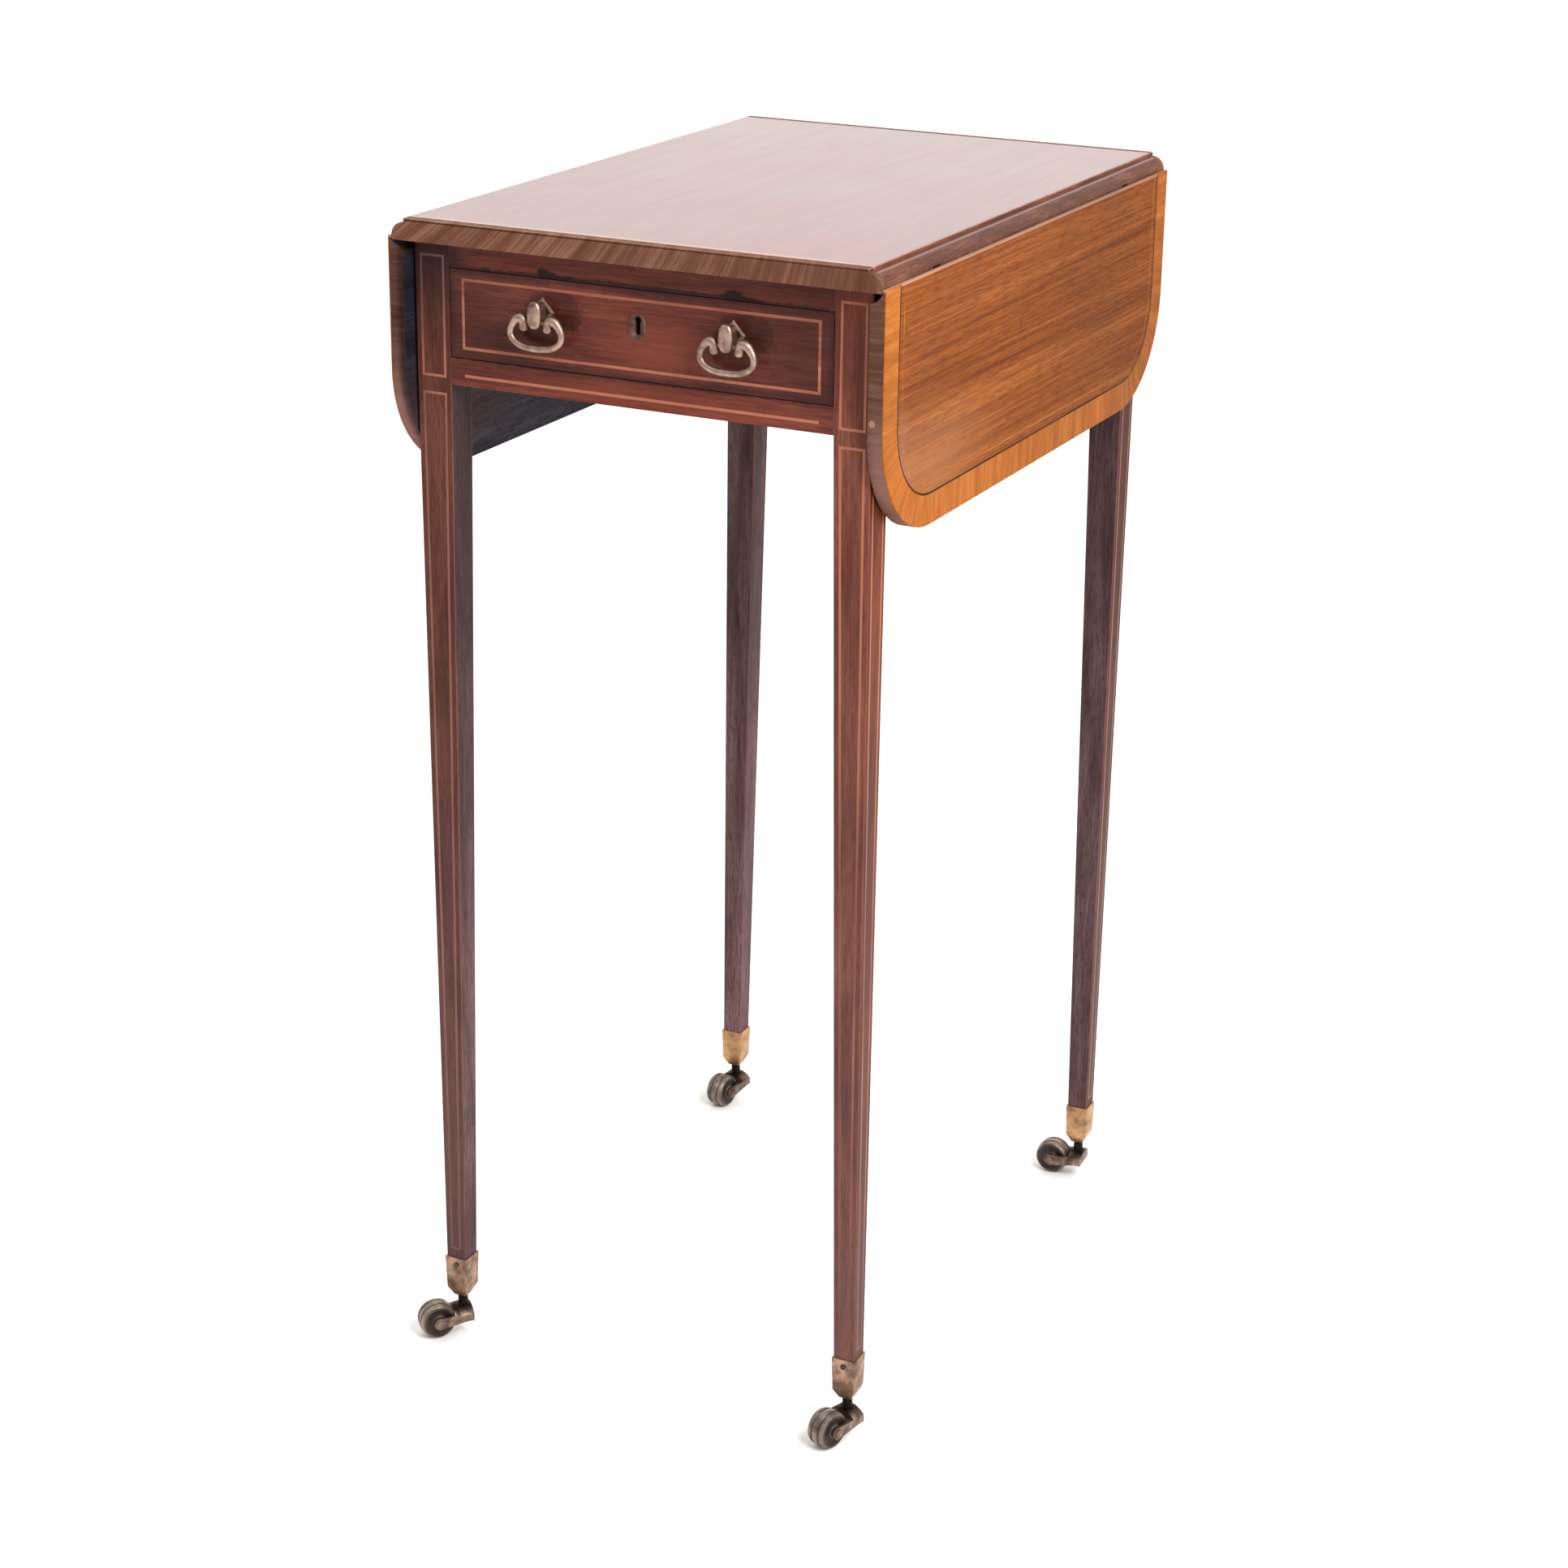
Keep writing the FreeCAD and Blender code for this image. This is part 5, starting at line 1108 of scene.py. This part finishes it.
def closed_mesh(name: str, shape: bmesh.types.BMesh, material: bpy.types.Material,
                sharp_deg: float | None = None) -> bpy.types.Mesh:
    """Turn a built shape into a mesh with its faces outwards.

    Args:
        name: name of the mesh.
        shape: closed shape, freed here.
        material: material of the whole mesh.
        sharp_deg: edges bent more than this are shaded sharp, if it is given.

    Returns:
        The mesh.
    """
    bmesh.ops.recalc_face_normals(shape, faces=shape.faces)
    mesh = bpy.data.meshes.new(name)
    shape.to_mesh(mesh)
    shape.free()
    if sharp_deg is not None:
        mesh.set_sharp_from_angle(angle=math.radians(sharp_deg))
    mesh.materials.append(material)
    return mesh


def softened_copy(node: str, width_mm: float, material: bpy.types.Material) -> bpy.types.Mesh:
    """Copy of a cast solid with its sharp edges rubbed round.

    Args:
        node: solid to copy.
        width_mm: width of the rounding.
        material: material of the copy.

    Returns:
        Merged and rounded mesh.
    """
    shape = bmesh.new()
    shape.from_mesh(frame["nodes"][node].data)
    bmesh.ops.remove_doubles(shape, verts=shape.verts, dist=WELD_MM * MM)
    bmesh.ops.dissolve_limit(shape, angle_limit=math.radians(FLAT_DEG), verts=shape.verts, edges=shape.edges)
    sharp = [e for e in shape.edges
             if len(e.link_faces) == 2 and e.calc_face_angle() > math.radians(ROUNDED_DEG)]
    bmesh.ops.bevel(shape, geom=sharp, offset=width_mm * MM, segments=2, profile=0.5, affect="EDGES",
                    clamp_overlap=True)
    for face in shape.faces:
        face.smooth = True
    mesh = bpy.data.meshes.new(node + "_softened")
    shape.to_mesh(mesh)
    shape.free()
    mesh.set_sharp_from_angle(angle=math.radians(CAST_CRISP_DEG))
    mesh.materials.clear()
    mesh.materials.append(material)
    return mesh


@dataclass
class TableTop:
    """Fixed top: board, end lippings, its fine lines, hinge flaps and screws."""

    finishes: Finishes

    def dress(self) -> None:
        """Give the top's solids their woods and metals."""
        dress(["top_board", "top_stringing"], self.finishes.get(TOP_WOOD))
        dress(["top_end_lippings"], self.finishes.get(END_LIPPING))
        dress(["top_screws", "hinge_top_flaps", "hinge_top_screws"], self.finishes.get(IRON))


@dataclass
class Leaf:
    """Hanging leaf: board, crossbanding, dark string and a pale line let into the field."""

    finishes: Finishes
    side: Side
    outer_x_mm: float = 156.6
    inner_x_mm: float = 146.6
    half_length_mm: float = 220.0
    bottom_mm: float = 574.0
    lip_mm: float = 718.6
    corner_mm: float = 68.0
    line_inset_mm: float = 24.4
    line_girth_mm: float = 0.5
    line_sunk_mm: float = 0.38
    line_steps: int = 3
    line_sides: int = 8
    bend_steps: int = 9
    # How far in from the face the worn lower corner of the front edge lies
    worn_in_mm: float = 4.0

    def field_line(self, sweep: bpy.types.NodeTree) -> bpy.types.Object:
        """Pale line that follows the leaf's outline inside the dark string.

        Args:
            sweep: tree that sweeps a bar.

        Returns:
            The line's piece.
        """
        reach = self.half_length_mm - self.line_inset_mm
        low = self.bottom_mm + self.line_inset_mm
        radius = self.corner_mm - self.line_inset_mm
        x = self.side.value * (self.outer_x_mm - self.line_sunk_mm)
        half = [(reach, self.lip_mm), (reach, (self.lip_mm + low + radius) / 2)]
        for k in range(self.bend_steps + 1):
            turn = math.radians(90 * k / self.bend_steps)
            half.append((reach - radius + radius * math.cos(turn), low + radius - radius * math.sin(turn)))
        outline = [(x, y, z) for y, z in half] + [(x, -y, z) for y, z in reversed(half)]
        name = f"leaf_{self.side.word}_field_line"
        line = line_mesh(name, outline, [self.line_girth_mm] * len(outline))
        mesh = evaluated(name, line, sweep, {"Steps": self.line_steps, "Sides": self.line_sides,
                                             "Material": self.finishes.get(FIELD_LINE)})
        return as_piece(name, mesh, f"leaf_{self.side.word}", "boxwood_string")

    def marks(self) -> tuple[Stain, ...]:
        """Marks on the board, with painted light and shade.

        Returns:
            A painted pool of light low on the face and a front edge paler towards the bottom, then a plug in the right
            leaf's edge or painted shade on the inside of the left leaf.
        """
        face = self.side.value * self.outer_x_mm
        edge = self.side.value * (self.outer_x_mm - self.worn_in_mm)
        # Painted light low on the face, and a front edge paler towards the bottom
        pale = (Stain.haze((face, -160.0, 606.0), (14.0, 130.0, 55.0), "#a8734a", 0.4, soft=0.95),
                Stain.haze((edge, -210.0, 612.0), (12.0, 40.0, 60.0), "#94706c", 0.45, 20.0))
        if self.side is Side.RIGHT:
            return *pale, Stain((149.6, -220.0, 645.7), (2.2, 3.0, 2.4), "#9c7668", 0.8, ragged=0.15)
        # Painted shade on the inside of the left leaf, behind its front edge
        return *pale, Stain.haze((-self.inner_x_mm, -215.0, 660.0), (7.0, 70.0, 130.0), "#131116", 0.75, soft=0.8)

    def dress(self) -> None:
        """Give the leaf's solids their woods and metals."""
        name = f"leaf_{self.side.word}"
        # Painted light: the board brighter at the front and darker at the back
        board = LeafFinish(f"mahogany_{name}_waxed", FIELD_TIMBER, WAXED, side=self.side, edge=EDGE_TIMBER,
                           inside=INSIDE_TIMBER, fade=(1.14, 0.84), stains=self.marks())
        dress([name], self.finishes.get(board))
        dress([name + "_crossbanding"], self.finishes.get(BANDING))
        dress([name + "_stringing"], self.finishes.get(EBONY))
        dress([name + "_hinge_flaps", name + "_hinge_screws"], self.finishes.get(IRON))


@dataclass
class Underframe:
    """Legs, rails, fly rails and brackets, and what the drawer runs on."""

    finishes: Finishes

    def dress(self) -> None:
        """Give the frame's solids their woods and metals."""
        # Each leg's copy of the wood carries its own painted light and shade
        for corner, (tone, hidden_tone) in LEG_TONES.items():
            wood = replace(LEG_WOOD, name=f"mahogany_leg_{corner}_french_polished", tone=tone,
                           hidden_tone=hidden_tone)
            dress([f"leg_{corner}"], self.finishes.get(wood))
        dress(["front_top_rail", "front_bottom_rail", "back_apron"], self.finishes.get(RAIL_WOOD))
        dress(["frame_stringing"], self.finishes.get(BOXWOOD_UPRIGHT))
        for side in Side:
            dress([f"side_rail_{side.word}", f"fly_rail_{side.word}", f"fly_bracket_{side.word}"],
                  self.finishes.get(BEECH))
        dress(["drawer_runners", "drawer_kickers", "drawer_stops"], self.finishes.get(OAK))
        dress(["fly_bracket_pins"], self.finishes.get(IRON))


@dataclass
class Drawer:
    """Frieze drawer: polished front, oak linings, lock, keyhole plate and dovetail keys at the corners."""

    finishes: Finishes
    half_width_mm: float = 121.5
    front_joint_mm: Pair = (-203.0, -195.0)
    back_joint_mm: Pair = (167.5, 175.0)
    key_levels_mm: tuple[float, ...] = (653.2, 667.0, 681.0, 694.6)
    back_levels_mm: tuple[float, ...] = (663.0, 674.0, 685.5)
    key_skin_mm: float = 0.16
    key_width_mm: Pair = (2.4, 5.2)
    plate_half_mm: Pair = (5.5, 7.7)
    plate_z_mm: float = 681.0
    plate_y_mm: float = -210.0
    slot_half_mm: Pair = (1.5, 4.9)
    head_mm: Pair = (2.0, 3.5)
    # Steps round the slot's foot, up its sides and round its head
    hole_steps: tuple[int, int, int] = (6, 6, 8)
    # Share of the way from the outline in to the keyhole, and depth behind the drawer front
    plate_steps: tuple[Pair, ...] = (
        (0.0, 1.6), (0.0, -0.1), (0.08, -0.3), (0.3, -0.25), (0.42, 0.15), (0.9, 0.7), (1.0, 1.1), (1.0, 3.5))

    def keys(self, wedge: bpy.types.NodeTree) -> list[bpy.types.Object]:
        """Dovetail keys, dark where the front's wood shows and pale at the back.

        Args:
            wedge: tree that sets a tapered key on each point.

        Returns:
            The pieces.
        """
        made = []
        for name, joint, levels, finish, slot in (
                ("drawer_front_dovetail_keys", self.front_joint_mm, self.key_levels_mm, DRAWER_WOOD, "mahogany_frame"),
                ("drawer_back_dovetail_keys", self.back_joint_mm, self.back_levels_mm, OAK_CROSS, "oak")):
            points = bpy.data.meshes.new(name + "_points")
            middle = sum(joint) / 2
            narrow, wide = [v * MM for v in self.key_width_mm]
            points.from_pydata([(s.value * self.half_width_mm * MM, middle * MM, z * MM)
                                for s in Side for z in levels], [], [])
            mesh = evaluated(name, points, wedge, {
                "Skin": self.key_skin_mm * MM, "Length": (joint[1] - joint[0]) * MM, "Narrow": narrow,
                "Wide": wide, "Material": self.finishes.get(finish)})
            made.append(as_piece(name, mesh, "drawer", slot))
        return made

    def keyhole_edge(self) -> list[Pair]:
        """Outline of the keyhole: a slot under a round head.

        Returns:
            Points across and up from the plate's middle, in order.
        """
        width, low = self.slot_half_mm
        radius, level = self.head_mm
        at_foot, at_sides, at_head = self.hole_steps
        foot = [(width * math.sin(turn), width - low - width * math.cos(turn))
                for turn in [math.radians(90 * k / at_foot) for k in range(at_foot + 1)]]
        start = math.asin(width / radius)
        head = [(radius * math.sin(turn), level - radius * math.cos(turn))
                for turn in [start + (math.pi - start) * k / at_head for k in range(at_head + 1)]]
        sides = [(width, foot[-1][1] + (head[0][1] - foot[-1][1]) * k / at_sides) for k in range(1, at_sides)]
        right = foot + sides + head
        return right + [(-x, z) for x, z in reversed(right[1:-1])]

    def keyhole_plate(self) -> bpy.types.Object:
        """Tarnished brass plate let in round the keyhole, with a rim and a hollow face.

        Returns:
            The plate's piece.
        """
        radius, height = self.plate_half_mm
        straight = height - radius
        shape = bmesh.new()
        rings = []
        inner = self.keyhole_edge()
        for share, depth in self.plate_steps:
            ring = []
            for x, z in inner:
                spine = max(-straight, min(straight, z))
                away = Vector((x, z - spine)).normalized() * radius
                across, up = Vector((away.x, spine + away.y)).lerp(Vector((x, z)), share)
                ring.append(shape.verts.new(Vector((across, self.plate_y_mm + depth, self.plate_z_mm + up)) * MM))
            rings.append(ring)
        skin(shape, rings + rings[:1])
        mesh = closed_mesh("keyhole_plate", shape, self.finishes.get(KEYHOLE_BRASS), CRISP_DEG)
        return as_piece("keyhole_plate", mesh, "drawer", "cast_brass", "escutcheon")

    def dress(self) -> None:
        """Give the drawer's solids their woods and metals."""
        dress(["drawer_front"], self.finishes.get(DRAWER_WOOD))
        dress(["drawer_stringing"], self.finishes.get(BOXWOOD_LEVEL))
        dress(["drawer_side_left", "drawer_side_right"], self.finishes.get(OAK))
        dress(["drawer_back", "drawer_bottom"], self.finishes.get(OAK_CROSS))
        dress(["drawer_lock", "lock_bolt"], self.finishes.get(LOCK_BRASS))
        dress(["handle_nuts"], self.finishes.get(HANDLE_BRASS))


@dataclass
class DropHandle:
    """Pair of cast drop handles: an upright boss on a lozenge plate and a bail with scrolled shoulders."""

    finishes: Finishes
    places_mm: tuple[tuple[Side, float], ...] = ((Side.LEFT, -60.5), (Side.RIGHT, 60.5))
    pivot_y_mm: float = -218.0
    pivot_z_mm: float = 678.5
    face_y_mm: float = -210.0
    boss_centre_mm: float = 682.8
    boss_half_mm: Pair = (4.5, 8.2)
    boss_square: float = 0.8
    plate_centre_mm: float = 683.2
    plate_half_mm: Pair = (7.6, 8.4)
    # Depth before the drawer front, share of the plate's outline there, and how dark it is: dirt, and painted shade
    # near the boss
    plate_rings: tuple[Triple, ...] = ((0.0, 1.0, 0.6), (0.25, 1.0, 0.25), (1.0, 0.76, 0.1), (0.95, 0.62, 0.4),
                                       (0.75, 0.55, 0.95))
    # Radius and length
    shank_mm: Pair = (2.0, 18.0)
    # Radius, and where it starts and ends across from the boss's middle
    stud_mm: Triple = (1.1, 1.4, 7.2)
    rod_sides: int = 20
    # Across, up from the pivot, and radius, from the drop at the tip over the shoulder to the bow
    bail_mm: tuple[Triple, ...] = (
        (7.7, -5.9, 0.4), (7.7, -5.4, 1.8), (7.7, -4.1, 2.75), (7.8, -1.9, 2.75), (8.2, 0.3, 2.9), (9.9, 1.5, 3.2),
        (12.4, 0.8, 2.9), (14.7, -1.8, 2.4), (16.3, -5.0, 2.1), (16.5, -8.4, 2.0), (14.4, -11.7, 1.95),
        (9.8, -14.2, 2.0), (4.8, -15.1, 2.05), (0.0, -15.3, 2.05))
    bail_steps: int = 6
    bail_sides: int = 20
    # Depth before the drawer front and share of the boss's outline there
    boss_rings: tuple[Pair, ...] = (
        (0.4, 0.66), (2.2, 0.54), (4.6, 0.52), (6.6, 0.62), (8.2, 0.9), (9.2, 1.0), (10.4, 0.98), (11.3, 0.87),
        (11.8, 0.66), (12.0, 0.32))
    boss_sides: int = 40
    # The waist narrows the boss more than it shortens it: this share of the height stays
    boss_height_kept: float = 0.35
    # Depth and half width of the crease, and how far before the drawer front the face that has it begins
    crease_mm: Pair = (0.5, 0.9)
    crease_from_mm: float = 9.5

    def add_boss(self, shape: bmesh.types.BMesh, x: float) -> None:
        """Add a waisted upright oval with a shallow crease down its face.

        Args:
            shape: mesh that takes the boss.
            x: place across the drawer.
        """
        rings = []
        dip, half = self.crease_mm
        for depth, share in self.boss_rings:
            ring = []
            tallness = self.boss_height_kept + (1 - self.boss_height_kept) * share
            for k in range(self.boss_sides):
                turn = math.tau * k / self.boss_sides
                wide, tall = [math.copysign(abs(v) ** self.boss_square, v) for v in (math.cos(turn), math.sin(turn))]
                across = self.boss_half_mm[0] * share * wide
                up = self.boss_half_mm[1] * tallness * tall
                dent = dip * math.exp(-(across / half) ** 2) if depth > self.crease_from_mm else 0.0
                ring.append(shape.verts.new(Vector((x + across, self.face_y_mm - depth + dent,
                                                    self.boss_centre_mm + up)) * MM))
            rings.append(ring)
        skin(shape, rings)
        shape.faces.new(rings[-1]).smooth = True
        shape.faces.new(list(reversed(rings[0])))

    def add_plate(self, shape: bmesh.types.BMesh, x: float) -> None:
        """Add the lozenge plate with its edge sloped back.

        Args:
            shape: mesh that takes the plate.
            x: place across the drawer.
        """
        rings = []
        grime = shape.verts.layers.float["grime"]
        for depth, share, dirt in self.plate_rings:
            half_x, half_z = [h * share for h in self.plate_half_mm]
            corners = ((half_x, 0), (0, half_z), (-half_x, 0), (0, -half_z))
            ring = [shape.verts.new(Vector((x + a, self.face_y_mm - depth, self.plate_centre_mm + b)) * MM)
                    for a, b in corners]
            for vert in ring:
                vert[grime] = dirt
            rings.append(ring)
        skin(shape, rings, smooth=False)
        shape.faces.new(rings[-1])
        shape.faces.new(list(reversed(rings[0])))

    def add_rod(self, shape: bmesh.types.BMesh, radius: float, start: Point, end: Point) -> None:
        """Add a round rod between two points.

        Args:
            shape: mesh that takes the rod.
            radius: radius in millimetres.
            start: one end.
            end: other end.
        """
        run = Vector(end) - Vector(start)
        place = Matrix.Translation((Vector(start) + run / 2) * MM) @ run.to_track_quat("Z", "Y").to_matrix().to_4x4()
        rod = bmesh.ops.create_cone(shape, cap_ends=True, segments=self.rod_sides, radius1=radius * MM,
                                    radius2=radius * MM, depth=run.length * MM, matrix=place)
        for vert in rod["verts"]:
            for face in vert.link_faces:
                face.smooth = len(face.verts) == 4

    def bosses(self) -> bpy.types.Object:
        """Both bosses with their plates and screw shanks.

        Returns:
            The piece.
        """
        shape = bmesh.new()
        shape.verts.layers.float.new("grime")
        radius, length = self.shank_mm
        for _, x in self.places_mm:
            self.add_boss(shape, x)
            self.add_plate(shape, x)
            self.add_rod(shape, radius, (x, self.face_y_mm, self.pivot_z_mm),
                         (x, self.face_y_mm + length, self.pivot_z_mm))
        mesh = closed_mesh("handle_bosses_cast", shape, self.finishes.get(HANDLE_BRASS))
        return as_piece("handle_bosses_cast", mesh, "drawer", "cast_brass", "handle_bosses")

    def bail(self, side: Side, x: float, sweep: bpy.types.NodeTree) -> bpy.types.Object:
        """Swinging bail with drops at its tips and a stud into each side of the boss.

        Args:
            side: which handle.
            x: place across the drawer.
            sweep: tree that sweeps a bar.

        Returns:
            The piece.
        """
        half = [((x + a, self.pivot_y_mm, self.pivot_z_mm + b), r) for a, b, r in self.bail_mm]
        other = [((x - a, self.pivot_y_mm, self.pivot_z_mm + b), r) for a, b, r in reversed(self.bail_mm[:-1])]
        points, girths = zip(*(half + other))
        name = f"handle_bail_{side.word}_cast"
        line = line_mesh(name, points, girths)
        mesh = evaluated(name, line, sweep, {"Steps": self.bail_steps, "Sides": self.bail_sides,
                                             "Material": self.finishes.get(HANDLE_BRASS)})
        shape = bmesh.new()
        shape.from_mesh(mesh)
        radius, inner, outer = self.stud_mm
        for turn in (-1, 1):
            self.add_rod(shape, radius, (x + turn * inner, self.pivot_y_mm, self.pivot_z_mm),
                         (x + turn * outer, self.pivot_y_mm, self.pivot_z_mm))
        bmesh.ops.recalc_face_normals(shape, faces=shape.faces)
        shape.to_mesh(mesh)
        shape.free()
        body = f"handle_bail_{side.word}"
        return as_piece(name, mesh, body, "cast_brass", body)

    def build(self, sweep: bpy.types.NodeTree) -> None:
        """Make the bosses and both bails.

        Args:
            sweep: tree that sweeps a bar.
        """
        self.bosses()
        for side, x in self.places_mm:
            self.bail(side, x, sweep)


@dataclass
class Castors:
    """Four castors: cup, nail, horn and wheel, with the cast edges rubbed round."""

    finishes: Finishes
    cup_edge_mm: float = 0.7
    horn_edge_mm: float = 0.4
    wheel_steps: int = 56
    # Half of the wheel's turned profile: along the axle, radius, and how greasy the metal is there
    wheel_half_mm: tuple[Triple, ...] = (
        (0.0, 11.95, 0.0), (1.6, 11.9, 0.0), (2.1, 11.55, 0.5), (2.7, 11.1, 0.9), (3.3, 11.5, 0.5), (3.8, 11.7, 0.0),
        (4.9, 11.45, 0.0), (5.8, 11.05, 0.1), (6.4, 10.5, 0.4), (6.7, 9.7, 0.8), (6.6, 8.6, 0.9), (6.2, 7.6, 0.95),
        (6.2, 5.4, 0.95), (6.6, 4.7, 0.9), (7.2, 4.4, 0.6), (7.3, 4.0, 0.5), (7.3, 2.1, 0.7))

    def wheel(self, corner: str) -> bpy.types.Object:
        """Turned wheel with a ridged tread, dished sides and a hub, bored for its axle.

        Args:
            corner: which castor.

        Returns:
            The wheel's piece.
        """
        joint = next(j for j in frame["joints"] if j["name"] == f"castor_roll_{corner}")
        axle = Vector(joint["axis"]).normalized()
        upright = Vector((0, 0, 1))
        ahead = axle.cross(upright)
        profile = [*self.wheel_half_mm, *((-a, r, g) for a, r, g in reversed(self.wheel_half_mm[1:]))]
        shape = bmesh.new()
        grime = shape.verts.layers.float.new("grime")
        rings = []
        for k in range(self.wheel_steps):
            turn = math.tau * k / self.wheel_steps
            spoke = ahead * math.cos(turn) + upright * math.sin(turn)
            ring = []
            for along, radius, dirt in profile:
                vert = shape.verts.new(Vector(joint["pos_m"]) + (axle * along + spoke * radius) * MM)
                vert[grime] = dirt
                ring.append(vert)
            rings.append(ring)
        skin(shape, rings + rings[:1])
        body = f"castor_wheel_{corner}"
        name = body + "_turned"
        mesh = closed_mesh(name, shape, self.finishes.get(WHEEL_BRASS), CRISP_DEG)
        return as_piece(name, mesh, body, "castor_wheel", body)

    def build(self) -> None:
        """Round the edges of the cups and horns, turn the wheels and dress the nails."""
        for corner in CORNERS:
            cup, horn = f"castor_cup_{corner}", f"castor_fork_{corner}"
            brass = DULL_CUP_BRASS if "front" in corner else CUP_BRASS
            mesh = softened_copy(cup, self.cup_edge_mm, self.finishes.get(brass))
            as_piece(cup + "_cast", mesh, "frame", "castor_brass", cup)
            mesh = softened_copy(horn, self.horn_edge_mm, self.finishes.get(HORN_BRASS))
            as_piece(horn + "_cast", mesh, horn, "castor_brass", horn)
            self.wheel(corner)
        dress(["castor_cup_pins"], self.finishes.get(IRON))


@dataclass
class Studio:
    """Pale floor, a white room brighter behind the table, a soft key from the right and the camera."""

    camera_m: Point = (0.846753, -1.763758, 1.068038)
    yaw_deg: float = 25.811
    pitch_deg: float = -20.418
    roll_deg: float = 0.835
    focal_px: float = 3955.353
    image_px: float = 1932.0
    sensor_mm: float = 36.0
    sight_m: float = 200.0
    # Matt white paint gives an even pale floor with soft shadows round the castors
    floor_half_m: float = 40.0
    floor_hex: str = "#fbfaf9"
    floor_roughness: float = 0.9
    floor_specular: float = 0.1
    # Light of the room, and what the camera sees of it
    room_hex: str = "#fffcfa"
    seen_hex: str = "#ffffff"
    room_front: float = 0.42
    room_back: float = 1.24
    room_overhead: float = 0.6
    # Backward and upward parts of a direction, from where the room starts to brighten to where it is brightest
    backward: Pair = (-0.6, 0.8)
    upward: Pair = (0.1, 0.9)
    key_m: Point = (1.2, -0.75, 1.5)
    key_aim_m: Point = (0.0, 0.0, 0.55)
    key_watts: float = 26.0
    key_size_m: float = 0.7

    def floor(self) -> None:
        """Lay the floor."""
        half = self.floor_half_m
        mesh = bpy.data.meshes.new("studio_floor")
        mesh.from_pydata([(-half, -half, 0), (half, -half, 0), (half, half, 0), (-half, half, 0)], [], [(0, 1, 2, 3)])
        paint = bpy.data.materials.new("floor_matt_white_paint")
        paint.use_nodes = True
        shader = paint.node_tree.nodes["Principled BSDF"]
        shader.inputs["Base Color"].default_value = linear(self.floor_hex)
        shader.inputs["Roughness"].default_value = self.floor_roughness
        shader.inputs["Specular IOR Level"].default_value = self.floor_specular
        mesh.materials.append(paint)
        plane = bpy.data.objects.new("studio_floor", mesh)
        bpy.context.scene.collection.objects.link(plane)

    def room(self) -> None:
        """Light the room evenly, brighter towards the back and overhead, white where the camera looks at it."""
        world = bpy.data.worlds.new("white_room")
        world.use_nodes = True
        tree = world.node_tree
        tree.nodes.clear()
        coords = add(tree, "ShaderNodeTexCoord")
        axes = add(tree, "ShaderNodeSeparateXYZ", {0: coords.outputs["Generated"]})
        power, lamp = [add(tree, "ShaderNodeMapRange", {"Value": axes.outputs[axis], "From Min": span[0],
                                                        "From Max": span[1], "To Min": least, "To Max": most},
                           interpolation_type="SMOOTHSTEP")
                       for axis, span, least, most in ((1, self.backward, self.room_front, self.room_back),
                                                       (2, self.upward, 0.0, self.room_overhead))]
        total = add(tree, "ShaderNodeMath", {0: power.outputs[0], 1: lamp.outputs[0]}, operation="ADD")
        glow = add(tree, "ShaderNodeBackground", {"Color": linear(self.room_hex), "Strength": total.outputs[0]})
        plain = add(tree, "ShaderNodeBackground", {"Color": linear(self.seen_hex), "Strength": 1.0})
        path = add(tree, "ShaderNodeLightPath")
        both = add(tree, "ShaderNodeMixShader", {0: path.outputs["Is Camera Ray"], 1: glow.outputs[0],
                                                 2: plain.outputs[0]})
        add(tree, "ShaderNodeOutputWorld", {0: both.outputs[0]})
        bpy.context.scene.world = world

    def key(self) -> None:
        """Hang the soft key light."""
        lamp = bpy.data.lights.new("key_softbox", "AREA")
        lamp.energy = self.key_watts
        lamp.size = self.key_size_m
        holder = bpy.data.objects.new("key_softbox", lamp)
        aim = Vector(self.key_aim_m) - Vector(self.key_m)
        holder.matrix_world = Matrix.Translation(self.key_m) @ aim.to_track_quat("-Z", "Y").to_matrix().to_4x4()
        bpy.context.scene.collection.objects.link(holder)

    def camera(self) -> None:
        """Stand the camera where the photograph was taken from."""
        yaw, pitch, roll = [math.radians(v) for v in (self.yaw_deg, self.pitch_deg, self.roll_deg)]
        ahead = Vector((-math.sin(yaw) * math.cos(pitch), math.cos(yaw) * math.cos(pitch), math.sin(pitch)))
        right = ahead.cross(Vector((0, 0, 1))).normalized()
        up = right.cross(ahead)
        turned_right = right * math.cos(roll) + up * math.sin(roll)
        turned_up = up * math.cos(roll) - right * math.sin(roll)
        lens = bpy.data.cameras.new("camera")
        lens.sensor_fit = "HORIZONTAL"
        lens.sensor_width = self.sensor_mm
        lens.lens = self.focal_px / self.image_px * self.sensor_mm
        lens.clip_end = self.sight_m
        holder = bpy.data.objects.new("camera", lens)
        basis = Matrix((turned_right, turned_up, -ahead)).transposed().to_4x4()
        holder.matrix_world = Matrix.Translation(self.camera_m) @ basis
        bpy.context.scene.collection.objects.link(holder)
        bpy.context.scene.camera = holder

    def build(self) -> None:
        """Set up the studio."""
        self.floor()
        self.room()
        self.key()
        self.camera()
        bpy.context.scene.view_settings.view_transform = "Standard"


def main() -> None:
    """Build every sub-assembly in order."""
    logging.basicConfig(level=logging.INFO, format="%(name)s: %(message)s")
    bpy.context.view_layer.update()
    finishes = Finishes()
    sweep, wedge = bar_tree(), wedge_tree()
    TableTop(finishes).dress()
    for side in Side:
        leaf = Leaf(finishes, side)
        leaf.dress()
        leaf.field_line(sweep)
    Underframe(finishes).dress()
    drawer = Drawer(finishes)
    drawer.dress()
    drawer.keys(wedge)
    drawer.keyhole_plate()
    DropHandle(finishes).build(sweep)
    Castors(finishes).build()
    Studio().build()


if __name__ == "__main__":
    main()
